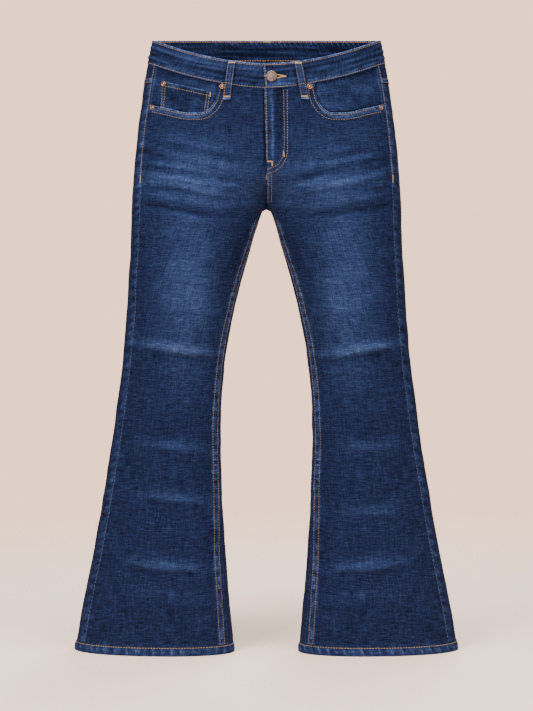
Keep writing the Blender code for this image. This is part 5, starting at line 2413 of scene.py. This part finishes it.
@dataclass
class Sewing:
    """All the stitching of the jeans, one joined piece for each kind of seam."""

    form: BodyForm
    lines: SeamLines
    needle: Needle
    wardrobe: Wardrobe
    loops: Sequence[BeltLoop]
    coin: CoinPocket
    pockets: Sequence[BackPocket]

    def build(self) -> list[Piece]:
        """Sew every seam.

        Returns:
            The stitched pieces.
        """
        tan, bright, sew = self.wardrobe.tan, self.wardrobe.bright, self.needle.sew
        return [
            sew("stitch_waistband", self.waist(), tan),
            # The inner rows use thread painted brighter against the shade there: painted light.
            sew("stitch_waistband_inside", self.waist_inside(), self.wardrobe.orange_lit_inside),
            sew("stitch_inseams", self.inseams(), tan),
            sew("stitch_side_seams", self.side_seams(), tan),
            sew("stitch_side_seams_blue", self.side_ridges(), self.wardrobe.blue, 0.0064,
                (0.0055, 0.0009, 0.0003), Lie.ALONG, 0.12),
            sew("stitch_rise", self.rise(), tan),
            sew("stitch_yokes", self.yokes(), tan),
            sew("stitch_pocket_mouths", self.mouths(), tan),
            sew("stitch_fly", self.fly(), tan),
            sew("stitch_coin_pocket", self.coin_lines(), tan),
            sew("stitch_back_pockets", self.pocket_lines(), tan),
            sew("stitch_hems", self.hems(), bright, 0.0048, (0.0035, 0.0010, 0.0005)),
            sew("stitch_belt_loops", self.loop_lines(), self.wardrobe.rust, 0.0036, (0.0026, 0.0008, 0.0004)),
            sew("bartacks", self.bartacks(), bright, 0.00075, (0.0026, 0.0009, 0.0006), Lie.ACROSS, 0.12),
            sew("buttonhole", self.buttonhole(), bright, 0.00070, (0.0024, 0.0008, 0.0006), Lie.ACROSS, 0.10),
        ]

    def waist(self) -> list[Path]:
        """Rows near both edges of the waistband, and down its lapped end.

        Returns:
            The lines.
        """
        start, end = Waistband(self.form).span()
        foot = self.lines.band(start - 0.020, end, 0.0020, BAND_PROUD)
        top = self.lines.band(start - 0.020, end, -0.0034, BAND_PROUD)
        closing = self.lines.flat([(-0.0030, 1.0105), (0.0004, 0.9720)], lift=BAND_PROUD + LAP_RAISE)
        return [foot, top, closing]

    def waist_inside(self) -> list[Path]:
        """The same rows on the inner face."""
        start, end = Waistband(self.form).span()
        return [self.lines.band(start, end, up, BAND_PROUD - BAND_WALL, True) for up in (0.0060, -0.0026)]

    def inseams(self) -> list[Path]:
        """Two rows beside each inseam, on the front."""
        rows = (self.form.row_near, self.form.row_far)
        return [self.lines.beside_inseam(side, 0.0165, 0.748, row) for side in (1, -1) for row in rows]

    def side_seams(self) -> list[Path]:
        """One row beside each side seam, from the waist seam down to its bartack."""
        return [self.lines.beside_side_seam(side, 0.822, 1.018, -0.0027) for side in (1, -1)]

    def side_ridges(self) -> list[Path]:
        """One faded row close to each side seam, from the bartack down to the hem."""
        return [self.lines.beside_side_seam(side, 0.017, 0.808, 0.0009) for side in (1, -1)]

    def rise(self) -> list[Path]:
        """Two rows beside the front and back rise, on the left.

        Returns:
            The lines.
        """
        front = [self.lines.flat([(0.0028, 0.8262), (0.0026, 0.7770)], straight=True),
                 self.lines.flat([(0.0092, 0.8262), (0.0082, 0.7780)], straight=True)]
        back = [self.lines.flat([(x, 0.7900), (x, 1.0255)], Face.BACK) for x in (0.0020, 0.0080)]
        return front + back

    def yokes(self) -> list[Path]:
        """Two rows above each yoke seam.

        Returns:
            The lines.
        """
        paths = []
        for side in (1, -1):
            for up in (0.0020, 0.0078):
                first = float(self.form.side_angle(YOKE_SIDE)) - 0.02
                angle = np.linspace(first, float(self.form.angle_for(0.0095, YOKE_CENTRE, -1)), 160)
                paths.append(self.lines.ringed(side, angle, self.form.yoke_height(side, angle) + up))
        return paths

    def mouths(self) -> list[Path]:
        """Two rows beside each pocket mouth."""
        return [self.lines.mouth(side, distance) for side in (1, -1) for distance in MOUTH_ROWS]

    def fly(self) -> list[Path]:
        """The curved double row of the fly, and a row down its folded edge.

        Returns:
            The lines.
        """
        inner = [(0.0289, 0.9690), (0.0308, 0.8835), (0.0296, 0.8635), (0.0252, 0.8470), (0.0173, 0.8383),
                 (0.0015, 0.8330)]
        outer = [(0.0354, 0.9690), (0.0356, 0.8835), (0.0361, 0.8616), (0.0330, 0.8494), (0.0243, 0.8354),
                 (0.0130, 0.8286), (0.0015, 0.8264)]
        edge = [(-0.0010, 0.9690), (0.0005, 0.9250), (0.0012, 0.8700), (0.0012, 0.8480)]
        rows = [self.lines.flat(rounded(row)) for row in (inner, outer)]
        return rows + [self.lines.flat(edge, lift=FLY_RAISE)]

    def coin_lines(self) -> list[Path]:
        """One row below the coin pocket's top and two down each side.

        Returns:
            The lines.
        """
        coin, paths = self.coin, []
        u = np.linspace(0.03, 0.985, 50)
        across, height = coin.place(u, mix(0.860, 0.825, u))
        paths.append(self.lines.flat(list(zip(-across, height)), lift=-COIN_DEPTH))
        for place in (0.018, 0.075, 0.925, 0.982):
            v = np.linspace(0.10, 0.985, 40)
            across, height = coin.place(np.full(v.shape, place), v)
            paths.append(self.lines.flat(list(zip(-across, height)), lift=-COIN_DEPTH))
        return paths

    def pocket_lines(self) -> list[Path]:
        """Two rows round the sides and foot of each back pocket, and one along its hem.

        Returns:
            The lines.
        """
        paths = []
        for pocket in self.pockets:
            rows = [[(u, v) for u in np.linspace(-0.97, 0.97, 20)] for v in (0.088, 0.100)]
            for inset in (0.0078, 0.0020):
                u, v = 1 - inset / pocket.half_top, 1 - inset / pocket.straight
                tip = (0.0, v + 0.2 * inset / pocket.straight)
                rows.insert(0, [(-u, 0.01), (-u, v), tip, (u, v), (u, 0.01)])
            for row in rows:
                corners = [pocket.place(np.array(u), np.array(v)) for u, v in row]
                line = [(pocket.side.value * float(x), float(z)) for x, z in corners]
                paths.append(self.lines.flat(line, Face.BACK, PATCH_LIFT + CLOTH))
        return paths

    def hems(self) -> list[Path]:
        """One row round each hem."""
        angle = np.linspace(0, 2 * math.pi, 500)
        height = np.full(angle.shape, HEM_ROW + 0.0001)
        return [self.lines.ringed(side, angle, height, 0.0006) for side in (1, -1)]

    def loop_lines(self) -> list[Path]:
        """Two rows down each belt loop."""
        v = np.linspace(0.09, 0.95, 40)
        return [loop.line(u, v) for loop in self.loops for u in (-0.38, 0.38)]

    def bartacks(self) -> list[Path]:
        """Short dense bars at the ends of loops, pocket corners, fly and side seams.

        Returns:
            The lines.
        """
        u = np.linspace(-0.44, 0.44, 12)
        paths = [loop.line(u, v) for loop in self.loops for v in (0.080, 0.955)]
        paths += [self.lines.beside_side_seam(side, 0.8115, 0.8245, -0.0027) for side in (1, -1)]
        angle = np.linspace(-1.593, -1.531, 20)
        level = self.form.band_top(angle) - 0.0026
        paths.append(self.lines.ringed(1, angle, level, BAND_PROUD - BAND_WALL, inner=True))
        bars = (((0.0291, 0.8628), (0.0302, 0.8535), 0.0),
                ((0.0010, 0.8460), (0.0100, 0.8460), FLY_RAISE),
                ((0.0100, 0.8460), (0.0100, 0.8385), FLY_RAISE),
                ((0.0004, 0.8260), (0.0004, 0.8160), 0.0),
                ((-0.0963, 0.9650), (-0.0968, 0.9575), -COIN_DEPTH))
        return paths + [self.lines.flat([start, end], lift=lift) for start, end, lift in bars]

    def buttonhole(self) -> list[Path]:
        """Dense purl stitches round the slit beside the button.

        Returns:
            The lines.
        """
        lift = BAND_PROUD + LAP_RAISE
        rows = ([(0.0180, 0.9938), (0.0260, 0.9922), (0.0335, 0.9912)],
                [(0.0180, 0.9876), (0.0260, 0.9900), (0.0335, 0.9910)],
                [(-0.0036, 0.9908), (-0.0012, 0.9908)])
        return [self.lines.flat(row, lift=lift) for row in rows]


def rounded(corners: Sequence[Point], rounds: int = 3) -> list[Point]:
    """Cut the corners of a line until it is smooth.

    Args:
        corners: its points.
        rounds: how often to cut.

    Returns:
        The smoother line, its ends kept.
    """
    line = np.array(corners, float)
    for _ in range(rounds):
        low, high = line[:-1] * 0.75 + line[1:] * 0.25, line[:-1] * 0.25 + line[1:] * 0.75
        line = np.concatenate((line[:1], np.stack((low, high), axis=1).reshape(-1, 2)[1:-1], line[-1:]))
    return [(float(x), float(z)) for x, z in line]


@dataclass
class Studio:
    """Floor, lights, surround and camera."""

    distance: float = 3.8
    eye: float = 0.642
    focal_px: float = 2180.0
    horizon_row: float = 281.0
    frame_height: int = 711
    sensor: float = 36.0
    wall: Colour = (2.30, 1.48, 1.03)
    ambient: Colour = (0.36, 0.33, 0.31)
    floor_reach: float = 2.6

    def floor(self) -> Piece:
        """Make a round floor that melts into the surround at its rim.

        Returns:
            The floor.
        """
        bpy.ops.object.select_all(action="DESELECT")
        bpy.ops.mesh.primitive_circle_add(vertices=96, radius=self.floor_reach, fill_type="NGON")
        obj = bpy.context.object
        obj.name = "studio_floor"
        shade = Shade("studio_floor")
        place = shade.place()
        length = shade.node("ShaderNodeVectorMath", {"operation": "LENGTH"}, {0: place})
        away = Value(shade, length.outputs["Value"])
        drift = shade.noise(place, (3, 3, 3), 2.0, 0.5)
        colour = shade.blend(drift, rgba((0.88, 0.68, 0.57)), rgba((0.85, 0.65, 0.54)))
        alpha = 1.0 - away.rise(self.floor_reach * 0.30, self.floor_reach * 0.96)
        material = shade.finish({"Base Color": colour, "Roughness": 0.9, "Specular IOR Level": 0.1,
                                 "Alpha": alpha})
        obj.data.materials.append(material)
        return obj

    def light(self, name: str, place: Sequence[float], size: float, power: float, colour: Colour) -> None:
        """Add one soft area light aimed at the jeans' middle.

        Args:
            name: its name.
            place: where it hangs.
            size: side of its square.
            power: watts.
            colour: its tint.
        """
        data = bpy.data.lights.new(name, "AREA")
        data.shape, data.size, data.energy, data.color = "SQUARE", size, power, colour
        obj = bpy.data.objects.new(name, data)
        bpy.context.scene.collection.objects.link(obj)
        obj.location = place
        obj.rotation_mode = "QUATERNION"
        obj.rotation_quaternion = (Vector((0, 0, 0.6)) - Vector(place)).to_track_quat("-Z", "Y")

    def lights(self) -> None:
        """Set the soft studio light: a key from the left, a fill, an overhead light and a back light."""
        self.light("key", (-2.4, -3.7, 2.7), 1.8, 245, (1.0, 0.965, 0.93))
        self.light("fill", (3.2, -3.2, 1.8), 2.4, 112, (1.0, 0.96, 0.93))
        self.light("top", (0.0, -0.9, 3.4), 2.2, 190, (1.0, 0.97, 0.95))
        self.light("rear", (0.8, 3.6, 2.6), 2.6, 215, (1.0, 0.97, 0.95))

    def surround(self) -> None:
        """Set a warm bright wall for the eye and a dimmer warm light from all round."""
        world = bpy.data.worlds.new("surround")
        world.use_nodes = True
        tree = world.node_tree
        tree.nodes.clear()
        path = tree.nodes.new("ShaderNodeLightPath")
        mixer = tree.nodes.new("ShaderNodeMixShader")
        output = tree.nodes.new("ShaderNodeOutputWorld")
        tree.links.new(path.outputs["Is Camera Ray"], mixer.inputs[0])
        for number, colour in ((1, self.ambient), (2, self.wall)):
            back = tree.nodes.new("ShaderNodeBackground")
            back.inputs["Color"].default_value = rgba(colour)
            tree.links.new(back.outputs[0], mixer.inputs[number])
        tree.links.new(mixer.outputs[0], output.inputs["Surface"])
        bpy.context.scene.world = world

    def camera(self) -> None:
        """Put the camera where the photograph was taken from."""
        data = bpy.data.cameras.new("camera")
        data.sensor_width = self.sensor
        data.lens = self.focal_px * self.sensor / self.frame_height
        data.clip_end = 60
        obj = bpy.data.objects.new("camera", data)
        bpy.context.scene.collection.objects.link(obj)
        obj.location = (0.0, SIDE_LINE - self.distance, self.eye)
        obj.rotation_euler = (math.pi / 2, 0.0, 0.0)
        data.shift_y = -(self.frame_height / 2 - self.horizon_row) / self.frame_height
        bpy.context.scene.camera = obj

    def build(self) -> None:
        """Build the whole studio."""
        self.floor()
        self.lights()
        self.surround()
        self.camera()


def report(kind: str, pieces: list[Piece]) -> list[Piece]:
    """Log each piece with its triangle count.

    Args:
        kind: what the pieces are.
        pieces: the finished pieces.

    Returns:
        The same pieces.
    """
    for obj in pieces:
        triangles = sum(len(face.vertices) - 2 for face in obj.data.polygons)
        log.info("%s %s: %d triangles", kind, obj.name, triangles)
    return pieces


def main() -> None:
    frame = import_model()
    form, wardrobe = BodyForm(), Wardrobe()
    coin, pockets = CoinPocket(form), [BackPocket(form, side) for side in Side]
    panels = [LegPanel(form, side, face) for side in Side for face in Face]
    legs = report("leg panel", [panel.build(wardrobe.denim) for panel in panels])
    yokes = report("yoke", [Yoke(form, side).build(wardrobe.denim) for side in Side])
    band = report("waistband", [Waistband(form).build(wardrobe.band)])
    report("pocket facing", [PocketFacing(form, side).build(wardrobe.facing) for side in Side])
    patches = report("coin pocket", [coin.build(wardrobe.denim)])
    patches += report("back pocket", [pocket.build(wardrobe.denim) for pocket in pockets])
    hems = report("hem", [Hem(form, side).build(wardrobe.denim) for side in Side])
    loops = [BeltLoop(form, "belt_loop_centre", Face.BACK, *CENTRE_LOOP)]
    for side in Side:
        loops.append(BeltLoop(form, f"belt_loop_front_{side.word}", Face.FRONT, *FRONT_LOOPS[side.word]))
        loops.append(BeltLoop(form, f"belt_loop_back_{side.word}", Face.BACK, *BACK_LOOPS[side.word]))
    straps = report("belt loop", [loop.build(wardrobe.band) for loop in loops])
    needle = Needle([*legs, *yokes, *band, *patches, *hems, *straps])
    report("stitching", Sewing(form, SeamLines(form), needle, wardrobe, loops, coin, pockets).build())
    lift = BAND_PROUD + LAP_RAISE + PATCH_LIFT
    button = Turning("button", BUTTON_PROFILE, lift, BUTTON_PLACE, BUTTON_GROOVE)
    report("button", [button.build(form, wardrobe.button, "button_metal")])
    for name, place in RIVET_PLACES.items():
        lift = RIVET_STAND - (COIN_DEPTH if name == "rivet_coin" else 0.0)
        rivet = Turning(name, RIVET_PROFILE, lift, place, RIVET_GROOVE)
        report("rivet", [rivet.build(form, wardrobe.copper, "rivet_copper")])
    tape = frame["nodes"]["fly_zip"].data.materials
    tape.clear()
    tape.append(wardrobe.tape)
    Studio().build()


if __name__ == "__main__":
    logging.basicConfig(level=logging.INFO, format="%(message)s")
    main()
